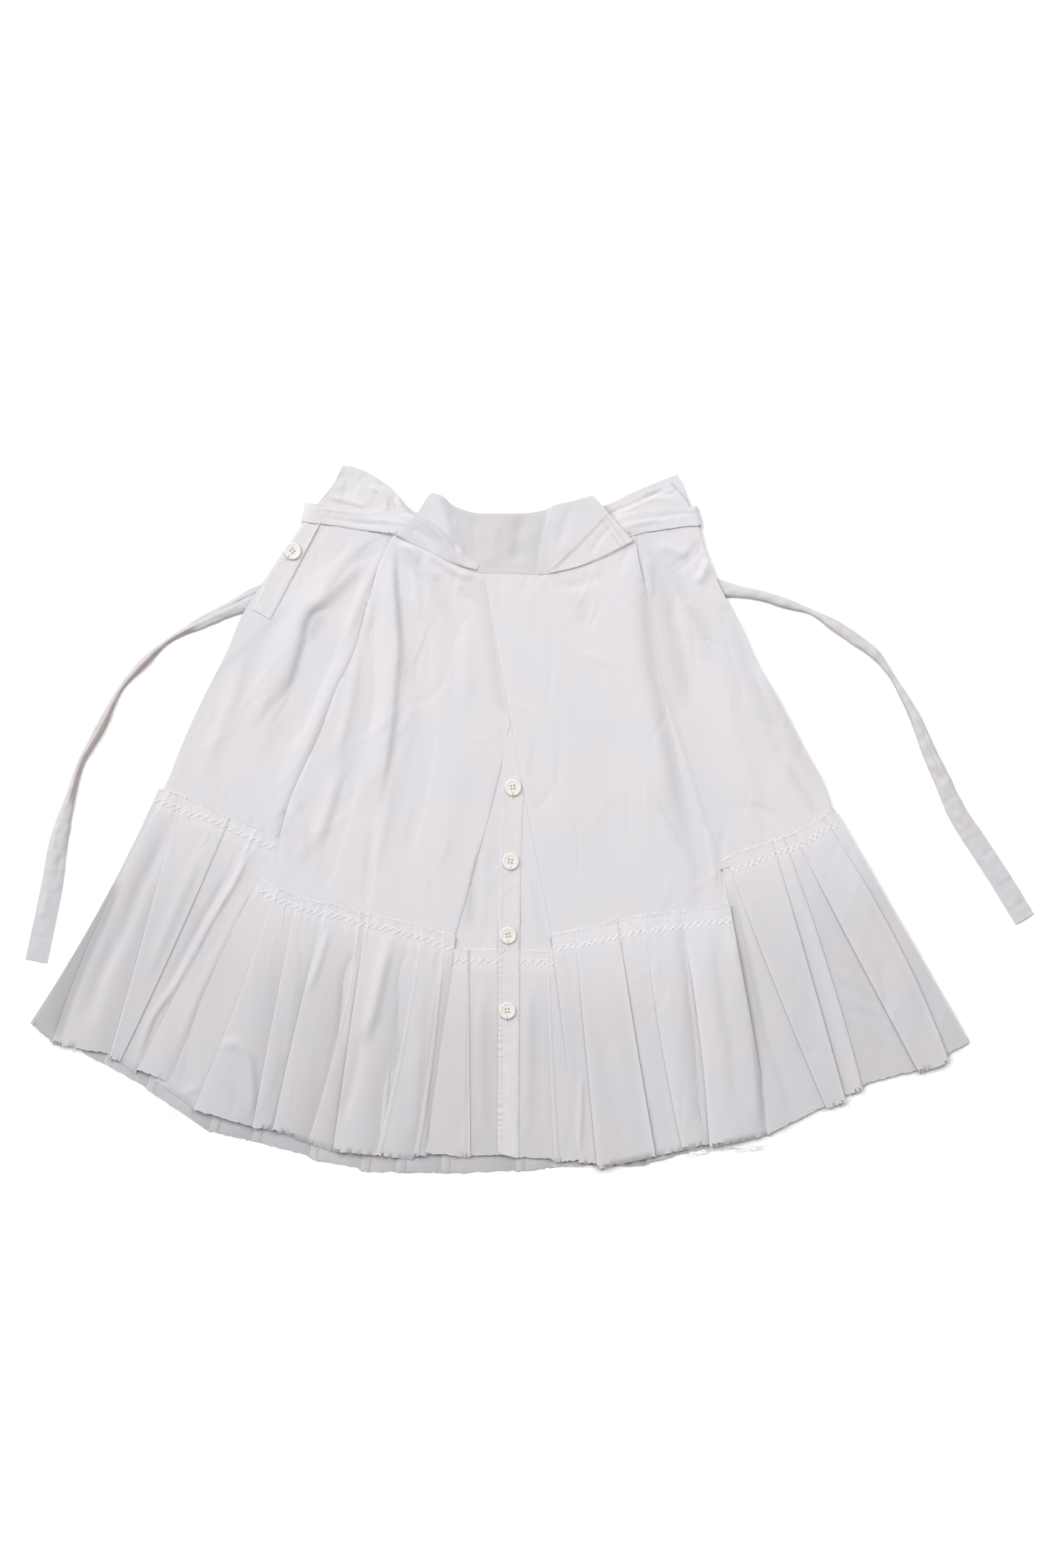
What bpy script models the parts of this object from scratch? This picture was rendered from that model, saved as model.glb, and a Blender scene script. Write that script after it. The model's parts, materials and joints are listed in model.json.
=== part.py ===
"""White cotton wrap-front skirt laid flat, front up: body panels, pleated flounces, waistband and ties."""

import math
from collections import namedtuple

import bpy
import numpy as np

for old in list(bpy.data.objects):
    bpy.data.objects.remove(old, do_unlink=True)

# All sizes are in millimetres; x runs to the right, y towards the waist, z up from the table.
MM = 0.001
CLOTH = 1.0  # thickness of one cloth wall
AIR = 0.3  # gap between cloth layers that lie on each other
LAYER = CLOTH + AIR
TIE_WIDTH = 22.5
BUTTON_RADIUS = 9.0
BUTTON_HEIGHT = 2.6
TURN = 1.0  # length of the rounded turn at the edge of a pleat
SETTLE_TOP = 4.0  # length over which a pleat comes down beside its fold, at the heading
SETTLE_HEM = 8.0  # the same at the hem
SWELL = 1.35  # how much higher the pleats stand at the hem than at the heading
FACING_ROOM = 4.0  # least flat cloth between two pleats that face each other
HEM_STEP = 0.5  # half the width of the step of the hem at a pleat's edge
FADE = 1.6  # how quickly a soft fold rises from its two ends
PRESSED = 0.5  # share of its full height that a rolled tie keeps
NEAR = 0.3  # outline points closer than this share of a grid step are taken as one

# Height of each layer's underside above the table.
FLOOR = 0.0
BACK = 3.9
FRONT = 5.2
ON_FRONT = 6.5
FRONT_HEM = 5.0
OVER_LEFT = 7.8
OVER_RIGHT = 9.1
OVER_FLOUNCE = 10.4
OVER_FLOUNCE_HEM = 9.9
BAND = 10.4
BAND_CORNER = 11.7

# Height of the middle of a tie: on the table, over the other tie, and over the yokes.
ON_TABLE = 0.5
OVER_TIE = 1.9
STRAP_LEFT = 8.4
STRAP_RIGHT = 7.4

COTTON = ("white_cotton", (0.80, 0.80, 0.81), 0.85)
FACING = ("ivory_cotton", (0.79, 0.77, 0.75), 0.85)
PLASTIC = ("ivory_plastic", (0.83, 0.81, 0.77), 0.45)

# The side outlines, the princess seams and the edges of the crossing front, from the waist down.
SIDE_LEFT = [
    (-223, 320), (-233.5, 307), (-254, 278), (-271, 252.5), (-296, 214), (-313, 173.5),
    (-333.5, 134), (-359.5, 77.5), (-374.5, 40), (-384.5, 20.5),
]
SIDE_RIGHT = [
    (173, 315.5), (176.5, 300.5), (184, 274), (195.5, 246.5), (219.5, 199), (239, 155.5),
    (254, 131), (284, 74), (301, 44), (317, -2),
]
SEAM_LEFT = [
    (-139, 298), (-152.5, 270.5), (-167.5, 222.5), (-183.5, 168.5), (-200.5, 132.5), (-212.5, 100),
    (-248.5, 17.5), (-264.5, -31),
]
SEAM_RIGHT = [
    (110, 296.5), (112, 278), (120.5, 237.5), (128, 189.5), (137.5, 142), (152.5, 100), (164, 62.5),
    (182.5, 2.5), (200, -52),
]
SEAM_LEFT_LOW = [(-271, -51.5), (-277, -73)]
SEAM_RIGHT_LOW = [(203, -66.5), (209, -96.5)]
EDGE_LEFT = [(20, 266.5), (-21.5, 92.5), (-31, 47.5), (-61, -65), (-79, -128.5)]
EDGE_RIGHT = [(-47.5, 264.5), (-18.5, 100), (2.5, -12.5), (26.5, -128.5)]

# Where the upper edge of each flounce lies (heading) and where it ends (hem), from left to right.
HEADING_SIDE_LEFT = [
    (-383, 32.5), (-364, 26), (-352, 20), (-329.5, 9.5), (-305.5, 0.5), (-288.5, -8), (-260.5, -19),
]
HEADING_OVER_LEFT = [
    (-276.5, -62.5), (-256, -73), (-233.5, -81.5), (-204.5, -87.5), (-170, -97), (-130, -106),
    (-98.5, -115), (-76, -121),
]
HEADING_CENTRE_LEFT = [
    (-280, -78.5), (-233.5, -98), (-170, -113.5), (-98.5, -131.5), (-65, -134.5), (-20.5, -134),
]
HEADING_CENTRE_RIGHT = [
    (-17.5, -134.5), (25, -136), (89, -121), (126.5, -114.5), (164, -110), (210.5, -104),
]
HEADING_OVER_RIGHT = [
    (23, -119.5), (51.5, -113.5), (89, -104.5), (126.5, -98), (164, -93.5), (207.5, -87.5),
]
HEADING_SIDE_RIGHT = [(201.5, -41.5), (216.5, -33.5), (239, -26), (276.5, -12.5), (316, 11)]
HEADING_BACK = [
    (-381.5, 31), (-323.5, 5.5), (-256, -26), (-143.5, -93.5), (-68.5, -126.5), (-8.5, -134),
    (51.5, -125), (126.5, -89), (201.5, -45.5), (254, -21.5), (314.5, 10),
]
HEM_BACK = [
    (-514, -206), (-471.5, -235), (-388, -283), (-386, -299.5), (-368.5, -311.5), (-336.5, -321.5),
    (-267.5, -337), (-214, -353.5), (-210.5, -361), (-128.5, -365.5), (-37, -366.5), (11.5, -360.5),
    (134, -356.5), (171.5, -342.5), (246.5, -323), (344, -270.5), (452, -225.5),
]

Pleat = namedtuple("Pleat", "top hem face lap_top lap_hem left right")
# top, hem: x of the folded edge at the heading and at the hem. face: -1 the edge looks left and the
# cloth on its right lies on top, +1 the other way. lap_top, lap_hem: how far the fold goes back
# underneath. left, right: how low the hem hangs just left and just right of the edge.
PLEATS_SIDE_LEFT = [
    Pleat(-361, -494, -1, 8, 12, -230, -232),
    Pleat(-335.5, -434.5, -1, 8, 5, -242, -248),
    Pleat(-305.5, -422.5, 1, 8, 5, -250, -251.5),
    Pleat(-284.5, -407, -1, 6, 10, -263, -258.5),
]
PLEATS_OVER_LEFT = [
    Pleat(-262, -349, -1, 8, 14, -298, -300.5),
    Pleat(-238, -293.5, -1, 8, 12, -317.5, -318.5),
    Pleat(-203.5, -259, -1, 9, 14, -322, -320.5),
    Pleat(-173.5, -227.5, -1, 8, 12, -335.5, -335),
    Pleat(-140, -201.5, -1, 9, 16, -344, -344),
    Pleat(-112, -158.5, -1, 8, 12, -347.5, -347.5),
    Pleat(-89.5, -122, -1, 6, 8, -353, -348.5),
]
PLEATS_CENTRE_LEFT = [
    Pleat(-254.5, -331, -1, 8, 12, -300.5, -300.5),
    Pleat(-224.5, -286, -1, 8, 12, -313, -313),
    Pleat(-194.5, -241, -1, 8, 12, -326.5, -326.5),
    Pleat(-164.5, -196, -1, 8, 12, -338.5, -338.5),
    Pleat(-134.5, -155, -1, 8, 12, -343, -343),
    Pleat(-104.5, -113.5, -1, 8, 10, -346, -346),
    Pleat(-62.5, -61, 1, 8, 14, -350, -347.5),
]
PLEATS_CENTRE_RIGHT = [
    Pleat(17.5, 26.5, -1, 8, 10, -351.5, -355),
    Pleat(50, 70, -1, 8, 10, -352, -352),
    Pleat(80, 105.5, -1, 8, 12, -347, -347),
    Pleat(111.5, 141.5, -1, 8, 12, -339.5, -339.5),
    Pleat(141.5, 174.5, -1, 8, 12, -333.5, -333.5),
    Pleat(173, 207.5, -1, 8, 12, -326.5, -326.5),
]
PLEATS_OVER_RIGHT = [
    Pleat(47.5, 71, -1, 8, 14, -356, -362),
    Pleat(91, 131, -1, 9, 14, -349, -348.5),
    Pleat(120.5, 159.5, -1, 8, 10, -342.5, -342.5),
    Pleat(156.5, 187, -1, 9, 16, -335, -339.5),
    Pleat(182.5, 218, -1, 7, 10, -333.5, -333.5),
]
PLEATS_SIDE_RIGHT = [
    Pleat(212, 308, -1, 6, 9, -296, -299.5),
    Pleat(248, 330.5, 1, 8, 9, -293, -284.5),
    Pleat(264.5, 345.5, 1, 6, 8, -281, -274),
    Pleat(278, 404.5, -1, 6, 12, -258.5, -263),
    Pleat(303.5, 434, 1, 7, 12, -252.5, -242),
]
BACK_PLEATS = 22  # even pleats of the back flounce, all turned one way
BACK_LAP_TOP = 8.0
BACK_LAP_HEM = 12.0

Fold = namedtuple("Fold", "points width height")
# The large soft folds that stand up on each panel: the line of the crest, its half width, its height.
FOLDS_SIDE_LEFT = [
    Fold([(-208, 215), (-235, 151), (-260, 100), (-286, 47.5), (-302.5, 16)], 9, 3.0),
    Fold([(-170, 280), (-196, 227.5), (-218.5, 156.5), (-241, 92.5), (-260, 32.5)], 10, 1.6),
    Fold([(-301, 171.5), (-323.5, 111.5), (-344.5, 55)], 10, 1.5),
]
FOLDS_SIDE_RIGHT = [
    Fold([(137.5, 272.5), (150.5, 227.5), (167.5, 175), (182.5, 107.5)], 10, 2.0),
    Fold([(190, 205), (216.5, 137.5), (246.5, 70), (265, 17.5)], 11, 1.8),
    Fold([(201.5, 100), (216.5, 40), (227.5, -5)], 9, 1.4),
]
FOLDS_OVER_LEFT = [
    Fold([(-134, 266), (-131.5, 189.5), (-136, 143.5), (-145, 85), (-173.5, -12.5)], 11, 2.2),
    Fold([(-83.5, 205), (-96.5, 130), (-107.5, 55), (-128.5, -50)], 12, 2.0),
    Fold([(-173.5, 92.5), (-188.5, 25), (-207.5, -42.5), (-218.5, -80)], 10, 2.4),
]
FOLDS_OVER_RIGHT = [
    Fold([(100, 250), (108.5, 190), (117.5, 130), (130, 55), (137.5, -50)], 11, 2.6),
    Fold([(51.5, 220), (60.5, 130), (68, 40), (77.5, -72.5)], 13, 2.0),
    Fold([(10, 227.5), (20, 152.5), (32.5, 62.5), (44, -35)], 12, 1.5),
]

materials = {}


def material(look):
    """The shared material of a look: its name, base colour and roughness."""
    name, colour, roughness = look
    if name not in materials:
        made = bpy.data.materials.new(name)
        made.use_nodes = True
        shader = made.node_tree.nodes["Principled BSDF"]
        shader.inputs["Base Color"].default_value = (*colour, 1.0)
        shader.inputs["Roughness"].default_value = roughness
        shader.inputs["Metallic"].default_value = 0.0
        materials[name] = made
    return materials[name]


def solid(name, points, faces, look, sharp=35.0):
    """An object from points in millimetres; the faces are turned round if they look inwards."""
    points = np.asarray(points, float).reshape(-1, 3)
    fan = [(f[0], f[k], f[k + 1]) for f in faces for k in range(1, len(f) - 1)]
    corner = points[np.array(fan)]
    if np.linalg.det(corner).sum() < 0:
        faces = [tuple(reversed(f)) for f in faces]
    mesh = bpy.data.meshes.new(name)
    mesh.from_pydata((points * MM).tolist(), [], faces)
    mesh.materials.append(material(look))
    made = bpy.data.objects.new(name, mesh)
    bpy.context.scene.collection.objects.link(made)
    mesh.shade_smooth()
    mesh.set_sharp_from_angle(angle=math.radians(sharp))
    return made


def unit(vectors):
    """Vectors brought to length one."""
    return vectors / np.linalg.norm(vectors, axis=-1, keepdims=True)


def wall(name, middle, look, thick=CLOTH):
    """A closed wall about a grid of middle points: each is moved out by n t/2 to both sides.

    n is the mean normal of the two steps before and after the point, lengthened by 1/cos of half
    the turn between them, so that the wall keeps its thickness round a folded edge.
    """
    steps = np.diff(middle, axis=0)
    along = np.gradient(middle, axis=1)
    before = unit(np.cross(np.concatenate([steps[:1], steps]), along))
    after = unit(np.cross(np.concatenate([steps, steps[-1:]]), along))
    normal = unit(before + after)
    reach = 1 / np.maximum((normal * after).sum(axis=-1, keepdims=True), 0.5)
    points = np.concatenate([middle + normal * reach * thick / 2, middle - normal * reach * thick / 2])
    across, down = middle.shape[:2]
    top = np.arange(across * down).reshape(across, down)
    under = top + across * down
    faces = []
    for i in range(across - 1):
        for j in range(down - 1):
            quad = [(i, j), (i + 1, j), (i + 1, j + 1), (i, j + 1)]
            faces.append(tuple(int(top[k]) for k in quad))
            faces.append(tuple(int(under[k]) for k in reversed(quad)))
    rim = [(i, 0) for i in range(across)] + [(across - 1, j) for j in range(1, down)]
    rim += [(i, down - 1) for i in range(across - 2, -1, -1)] + [(0, j) for j in range(down - 2, 0, -1)]
    for a, b in zip(rim, rim[1:] + rim[:1]):
        faces.append((int(top[b]), int(top[a]), int(under[a]), int(under[b])))
    return solid(name, points, faces, look)


def shares_of(points):
    """How far along a polyline each of its points lies, from 0 to 1."""
    lengths = np.linalg.norm(np.diff(np.array(points, float), axis=0), axis=1)
    return np.concatenate([[0], np.cumsum(lengths)]) / lengths.sum()


def along_line(points, shares):
    """Points at the given shares of the length of a polyline."""
    columns = np.array(points, float).T
    return np.stack([np.interp(shares, shares_of(points), column) for column in columns], axis=-1)


def steps_through(lines, least):
    """Shares from 0 to 1 that pass through the points of two facing edges, with wide steps divided."""
    kept = [0.0]
    for share in sorted(np.concatenate([shares_of(line) for line in lines])):
        if share - kept[-1] > NEAR / least:
            kept.append(share)
    kept[-1] = 1.0
    parts = []
    for start, end in zip(kept, kept[1:]):
        count = max(1, round((end - start) * least))
        parts.extend(np.linspace(start, end, count + 1)[:-1])
    return np.array([*parts, 1.0])


def patch(left, right, top, bottom, across, down):
    """Plan of a panel between four edges: (1-u)L + uR + (1-v)T + vB less the corners' bilinear mix.

    left and right run from the top down; top and bottom hold only the points between the corners.
    across and down are the least number of steps each way.
    """
    top = [left[0], *top, right[0]]
    bottom = [left[-1], *bottom, right[-1]]
    u = steps_through([top, bottom], across)
    v = steps_through([left, right], down)
    sides = [along_line(line, v)[None] for line in (left, right)]
    ends = [along_line(line, u)[:, None] for line in (top, bottom)]
    u = u[:, None, None]
    v = v[None, :, None]
    mix = (1 - u) * (1 - v) * sides[0][:, :1] + u * (1 - v) * sides[1][:, :1]
    mix = mix + (1 - u) * v * sides[0][:, -1:] + u * v * sides[1][:, -1:]
    return (1 - u) * sides[0] + u * sides[1] + (1 - v) * ends[0] + v * ends[1] - mix


def relief(plan, folds):
    """Height of the soft folds at each point: the largest of h exp(-(d/w)^2) times an end fade."""
    rise = np.zeros(plan.shape[:2])
    shares = np.linspace(0, 1, 25)
    for fold in folds:
        line = along_line(fold.points, shares)
        gaps = np.linalg.norm(plan[:, :, None] - line[None, None], axis=-1)
        nearest = shares[gaps.argmin(axis=-1)]
        fade = np.clip(np.sin(math.pi * nearest) * FADE, 0, 1)
        bump = fold.height * np.exp(-((gaps.min(axis=-1) / fold.width) ** 2)) * fade
        rise = np.maximum(rise, bump)
    return rise


def panel(name, plan, under, look=COTTON, folds=()):
    """A cloth panel of one wall whose underside is at the height under, a number or a grid."""
    height = under + CLOTH / 2 + relief(plan, folds)
    height = np.broadcast_to(height, plan.shape[:2])
    return wall(name, np.dstack([plan, height]), look)


def pleat_section(pleats, top_ends, hem_ends):
    """The folded section of a flounce: rows of x at the heading, x at the hem and layer.

    Each pleat turns back under its edge by its lap: layer 0 lies lowest, 1 between and 2 on top.
    """
    turns = [  # share of the lap, distance at heading and hem, layer
        (1, -TURN, -TURN, 0.0),
        (1, 0, 0, 0.5),
        (1, -TURN, -TURN, 1.0),
        (0, TURN, TURN, 1.0),
        (0, 0, 0, 1.5),
        (0, TURN, TURN, 2.0),
        (1, 0, 0, 2.0),
        (1, SETTLE_TOP, SETTLE_HEM, 0.0),
    ]
    rows = [(top_ends[0], hem_ends[0], 0.0)]
    for k, pleat in enumerate(pleats):
        steps = turns[:]
        mate = k - 1 if pleat.face > 0 else k + 1
        if 0 <= mate < len(pleats) and pleats[mate].face == -pleat.face:
            room = abs(pleats[mate].hem - pleat.hem) - pleats[mate].lap_hem - pleat.lap_hem
            if room < 2 * SETTLE_HEM + FACING_ROOM:
                steps = turns[:-1]
        if pleat.face > 0:
            steps = steps[::-1]
        for share, at_top, at_hem, layer in steps:
            x_top = pleat.top - pleat.face * (share * pleat.lap_top + at_top)
            x_hem = pleat.hem - pleat.face * (share * pleat.lap_hem + at_hem)
            rows.append((x_top, x_hem, layer))
    rows.append((top_ends[1], hem_ends[1], 0.0))
    return np.array(rows).T


def hem_line(start, pleats, end):
    """The hem of a flounce, through the two hem heights of each pleat."""
    points = [start]
    for pleat in pleats:
        points += [(pleat.hem - HEM_STEP, pleat.left), (pleat.hem + HEM_STEP, pleat.right)]
    return [*points, end]


def flounce(name, heading, hem, pleats, under, down=(0, 0.06, 0.5, 1), facing_down=False, bow=0):
    """A pleated flounce between its heading and its hem, both polylines that run left to right.

    bow moves the middle of its left edge sideways, and less and less towards its right edge.
    """
    heading = np.array(heading, float)
    hem = np.array(hem, float)
    x_top, x_hem, layer = pleat_section(pleats, heading[[0, -1], 0], hem[[0, -1], 0])
    upper = np.stack([x_top, np.interp(x_top, heading[:, 0], heading[:, 1])], axis=-1)
    lower = np.stack([x_hem, np.interp(x_hem, hem[:, 0], hem[:, 1])], axis=-1)
    v = np.array(down, float)[None, :, None]
    plan = (1 - v) * upper[:, None] + v * lower[:, None]
    v = v[:, :, 0]
    plan[..., 0] += bow * 4 * v * (1 - v) * np.linspace(1, 0, len(layer))[:, None]
    if facing_down:
        layer = 2 - layer
    lift = LAYER * (1 + (SWELL - 1) * v) * layer[:, None]
    height = under[0] + (under[1] - under[0]) * v + lift + CLOTH / 2
    return wall(name, np.dstack([plan, height]), COTTON)


def even_pleats(count, top_ends, hem_ends):
    """Pleats at even spaces between two ends, for the back where none of them shows."""
    made = []
    for k in range(count):
        share = (k + 0.6) / count
        top = top_ends[0] + (top_ends[1] - top_ends[0]) * share
        bottom = hem_ends[0] + (hem_ends[1] - hem_ends[0]) * share
        made.append(Pleat(top, bottom, -1, BACK_LAP_TOP, BACK_LAP_HEM, None, None))
    return made


def lerp_height(plan, table):
    """Height as a function of y, from a table of (y, height) that runs from the waist down."""
    table = np.array(table[::-1], float)
    return np.interp(plan[..., 1], table[:, 0], table[:, 1])


Lay = namedtuple("Lay", "at z across width curl")
# One place along a tie: its middle in plan, the height of its middle, the direction of its width in
# degrees (None: square to its run), the width of the cloth, and how far it has rolled, in degrees.


def round_edge(at, top, across, width, side):
    """The places of a tie that turns round the garment's edge in a half circle from top to table."""
    radius = (top - CLOTH / 2) / 2
    out = math.radians(across + 90 * side)
    places = []
    for turn in (0, 36, 72, 108, 144, 180):
        reach = radius * math.sin(math.radians(turn))
        x = at[0] + reach * math.cos(out)
        y = at[1] + reach * math.sin(out)
        z = CLOTH / 2 + radius + radius * math.cos(math.radians(turn))
        places.append(Lay((x, y), z, across, width, 0))
    return places


def tie(name, places, points=7):
    """A strip of cloth along its places; where it rolls, its section is an arc R sin, R cos, pressed low."""
    at = np.array([place.at for place in places], float)
    run = unit(np.gradient(at, axis=0) + 1e-9)
    square = np.stack([-run[:, 1], run[:, 0]], axis=-1)
    across = []
    for place, normal in zip(places, square):
        if place.across is not None:
            angle = math.radians(place.across)
            normal = np.array([math.cos(angle), math.sin(angle)])
        if across and normal @ across[-1] < 0:
            normal = -normal
        across.append(normal)
    across = np.array(across)[:, None]
    share = np.linspace(-1, 1, points)[None]
    curl = np.radians([max(place.curl, 1.0) for place in places])[:, None]
    radius = np.array([place.width for place in places])[:, None] / curl
    aside = radius * np.sin(curl / 2 * share)
    rise = PRESSED * radius * (np.cos(curl / 2 * share) - np.cos(curl / 2))
    plan = at[:, None] + across * aside[..., None]
    height = np.array([place.z for place in places])[:, None] + rise
    return wall(name, np.dstack([plan, height]), COTTON)


def button(name, at, under):
    """A turned button with a raised rim: its radius and height run round the profile below."""
    profile = [  # share of the radius, share of the height
        (0.0, 0.0),
        (0.80, 0.0),
        (0.97, 0.30),
        (1.0, 0.62),
        (0.93, 0.95),
        (0.80, 1.0),
        (0.66, 0.72),
        (0.35, 0.60),
        (0.0, 0.58),
    ]
    count = 20
    points = [(at[0], at[1], under)]
    for radius, height in profile[1:-1]:
        for k in range(count):
            turn = 2 * math.pi * k / count
            x = at[0] + BUTTON_RADIUS * radius * math.cos(turn)
            y = at[1] + BUTTON_RADIUS * radius * math.sin(turn)
            points.append((x, y, under + BUTTON_HEIGHT * height))
    points.append((at[0], at[1], under + BUTTON_HEIGHT * profile[-1][1]))
    rings = len(profile) - 2
    last = len(points) - 1
    faces = []
    for k in range(count):
        following = (k + 1) % count
        faces.append((0, 1 + following, 1 + k))
        for ring in range(rings - 1):
            low = 1 + ring * count
            high = low + count
            faces.append((low + k, low + following, high + following, high + k))
        top = 1 + (rings - 1) * count
        faces.append((top + k, top + following, last))
    return solid(name, points, faces, PLASTIC, sharp=50.0)


def shifted(line, by):
    """A line moved sideways, for the gap between two pieces that meet at a seam."""
    return [(x + by, y) for x, y in line]


# Back, its flounce, and the shaped yokes of the waist.
back_plan = patch(
    [(-191.5, 363.5), (-199, 347), (-220, 322), *SIDE_LEFT[1:]],
    [(154, 358), (167, 325), *SIDE_RIGHT[1:]],
    [(-140, 338), (-116, 313), (-8.5, 304), (80, 326), (115, 342.5)],
    [(-323.5, -7), (-256, -38), (-143.5, -105.5), (-68.5, -138.5),
     (-8.5, -146), (51.5, -137), (126.5, -101), (201.5, -57.5), (254, -33.5)],
    10,
    9,
)
panel("back_panel", back_plan, BACK)
back_pleats = even_pleats(
    BACK_PLEATS,
    (HEADING_BACK[0][0], HEADING_BACK[-1][0]),
    (HEM_BACK[0][0], HEM_BACK[-1][0]),
)
flounce("back_flounce", HEADING_BACK, HEM_BACK, back_pleats, (FLOOR, FLOOR), (0, 0.5, 1), True, bow=7)
yoke_left = patch(
    [(-193, 367), (-201.5, 349), (-212, 335.5), (-221, 324.5)],
    [(-99.5, 315.5), (-98.5, 296.5)],
    [(-181, 365), (-158.5, 354.5), (-141.5, 341.5), (-126.5, 324.5), (-116, 317)],
    [(-173.5, 311), (-136, 303.5)],
    6,
    3,
)
panel("yoke_left", yoke_left, FRONT, FACING)
yoke_right = patch(
    [(60.5, 314.5), (60.5, 296.5)],
    [(145, 350), (166, 325), (170.5, 316)],
    [(81.5, 320.5)],
    [(107.5, 303.5), (137.5, 310)],
    6,
    3,
)
panel("yoke_right", yoke_right, FRONT, FACING)

# Side fronts and the two halves of the button front, edge to edge at the princess seams.
side_left = patch(SIDE_LEFT, SEAM_LEFT, [(-173.5, 308)], [(-352, 9.5), (-323.5, -2.5), (-288.5, -20)], 10, 9)
panel("side_front_left", side_left, FRONT, folds=FOLDS_SIDE_LEFT)
side_right = patch(SEAM_RIGHT, SIDE_RIGHT, [(141.5, 307)], [(239, -38), (276.5, -24.5)], 10, 9)
panel("side_front_right", side_right, FRONT, folds=FOLDS_SIDE_RIGHT)
centre_left = patch(
    shifted(SEAM_LEFT, 2.5) + [(-269, -51.5), (-278.5, -88)],
    [(-20, 271), (-20, -146.5)],
    [(-98.5, 286), (-53.5, 274)],
    [(-233.5, -109), (-170, -125), (-98.5, -143), (-65, -146.5)],
    6,
    8,
)
panel("centre_front_left", centre_left, FRONT)
centre_right = patch(
    [(-19, 271), (-19, -147.5)],
    shifted(SEAM_RIGHT, -2.5) + [(200.5, -80), (209, -114.5)],
    [(21.5, 274), (66.5, 286)],
    [(25, -148), (89, -133), (126.5, -126.5), (164, -121)],
    6,
    8,
)
panel("centre_front_right", centre_right, FRONT)

# The two button plackets, with the side one on the edge of the left side front.
placket = patch(
    [(-27.5, 257.5), (-28, 55), (-31, -35.5), (-32, -77), (-32, -106), (-32.5, -345.5)],
    [(-4, 257.5), (-5.5, 51.5), (-8.5, -40), (-9.5, -80.5), (-9.5, -110), (-11, -350.5)],
    [],
    [],
    3,
    9,
)
placket_heights = [(257.5, ON_FRONT), (-77, ON_FRONT), (-110, OVER_FLOUNCE), (-350, OVER_FLOUNCE_HEM)]
panel("centre_placket", placket, lerp_height(placket, placket_heights), FACING)
side_placket = patch(
    [(-210.5, 335), (-233, 307), (-253, 278), (-270.5, 252.5), (-286, 218)],
    [(-200, 329.5), (-217, 305), (-228.5, 283), (-242.5, 256), (-252.5, 236), (-268, 207.5)],
    [],
    [],
    3,
    7,
)
panel("side_placket", side_placket, ON_FRONT, FACING)

# Flounces of the side fronts and of the button front.
hem = hem_line((-517, -211), PLEATS_SIDE_LEFT, (-376, -271))
flounce("side_flounce_left", HEADING_SIDE_LEFT, hem, PLEATS_SIDE_LEFT, (ON_FRONT, FRONT_HEM), bow=7)
hem = hem_line((251.5, -324.5), PLEATS_SIDE_RIGHT, (456.5, -230))
flounce("side_flounce_right", HEADING_SIDE_RIGHT, hem, PLEATS_SIDE_RIGHT, (ON_FRONT, FRONT_HEM))
hem = hem_line((-373, -275), PLEATS_CENTRE_LEFT, (-20.5, -347.5))
flounce("centre_flounce_left", HEADING_CENTRE_LEFT, hem, PLEATS_CENTRE_LEFT, (ON_FRONT, FRONT_HEM))
hem = hem_line((-17.5, -350), PLEATS_CENTRE_RIGHT, (245, -318.5))
flounce("centre_flounce_right", HEADING_CENTRE_RIGHT, hem, PLEATS_CENTRE_RIGHT, (ON_FRONT, FRONT_HEM))

# The crossing front: the left panel below, the right one over it, each with its own flounce.
over_left = patch(
    SEAM_LEFT + SEAM_LEFT_LOW,
    EDGE_LEFT,
    [(-98.5, 286), (-47.5, 271)],
    [(-256, -82), (-204.5, -96.5), (-170, -105.5), (-130, -114.5), (-98.5, -123.5)],
    14,
    10,
)
over_left_heights = [(299, OVER_LEFT), (-12.5, OVER_LEFT), (-72.5, OVER_RIGHT), (-132.5, OVER_RIGHT)]
panel("crossing_front_left", over_left, lerp_height(over_left, over_left_heights), folds=FOLDS_OVER_LEFT)
over_right = patch(
    EDGE_RIGHT,
    SEAM_RIGHT + SEAM_RIGHT_LOW,
    [(17.5, 263.5), (66.5, 274)],
    [(51.5, -123.5), (89, -114.5), (126.5, -107.5), (164, -102.5)],
    14,
    10,
)
panel("crossing_front_right", over_right, OVER_RIGHT, folds=FOLDS_OVER_RIGHT)
over_heights = (OVER_FLOUNCE, OVER_FLOUNCE_HEM)
hem = hem_line((-379, -275), PLEATS_OVER_LEFT, (-104.5, -349))
flounce("crossing_flounce_left", HEADING_OVER_LEFT, hem, PLEATS_OVER_LEFT, over_heights)
hem = hem_line((51.5, -355), PLEATS_OVER_RIGHT, (251, -326.5))
flounce("crossing_flounce_right", HEADING_OVER_RIGHT, hem, PLEATS_OVER_RIGHT, over_heights)

# Waistband of the crossing front, and its two ends turned down over it.
band = patch(
    [(-116, 316), (-137.5, 293.5)],
    [(80, 320), (109, 287.5)],
    [(-98, 338), (-89.5, 335), (-80, 326), (-61, 318.5), (-27.5, 317),
     (19, 320.5), (25, 325), (66.5, 335.5), (72.5, 329.5)],
    [(-98.5, 274), (-68.5, 261.5), (-47.5, 255.5), (-23.5, 255.5), (17.5, 254), (51.5, 261.5), (89, 276.5)],
    16,
    5,
)
panel("waistband", band, BAND)
corner_left = patch(
    [(-116.5, 315.5), (-136, 294.5)],
    [(-52, 263), (-54.5, 258.5)],
    [(-83.5, 287.5)],
    [(-98.5, 275), (-68.5, 262)],
    6,
    3,
)
turned_edge = Fold([(-116.5, 314), (-82, 286), (-50.5, 261.5)], 5, 1.4)
panel("band_corner_left", corner_left, BAND_CORNER, folds=[turned_edge])
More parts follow.
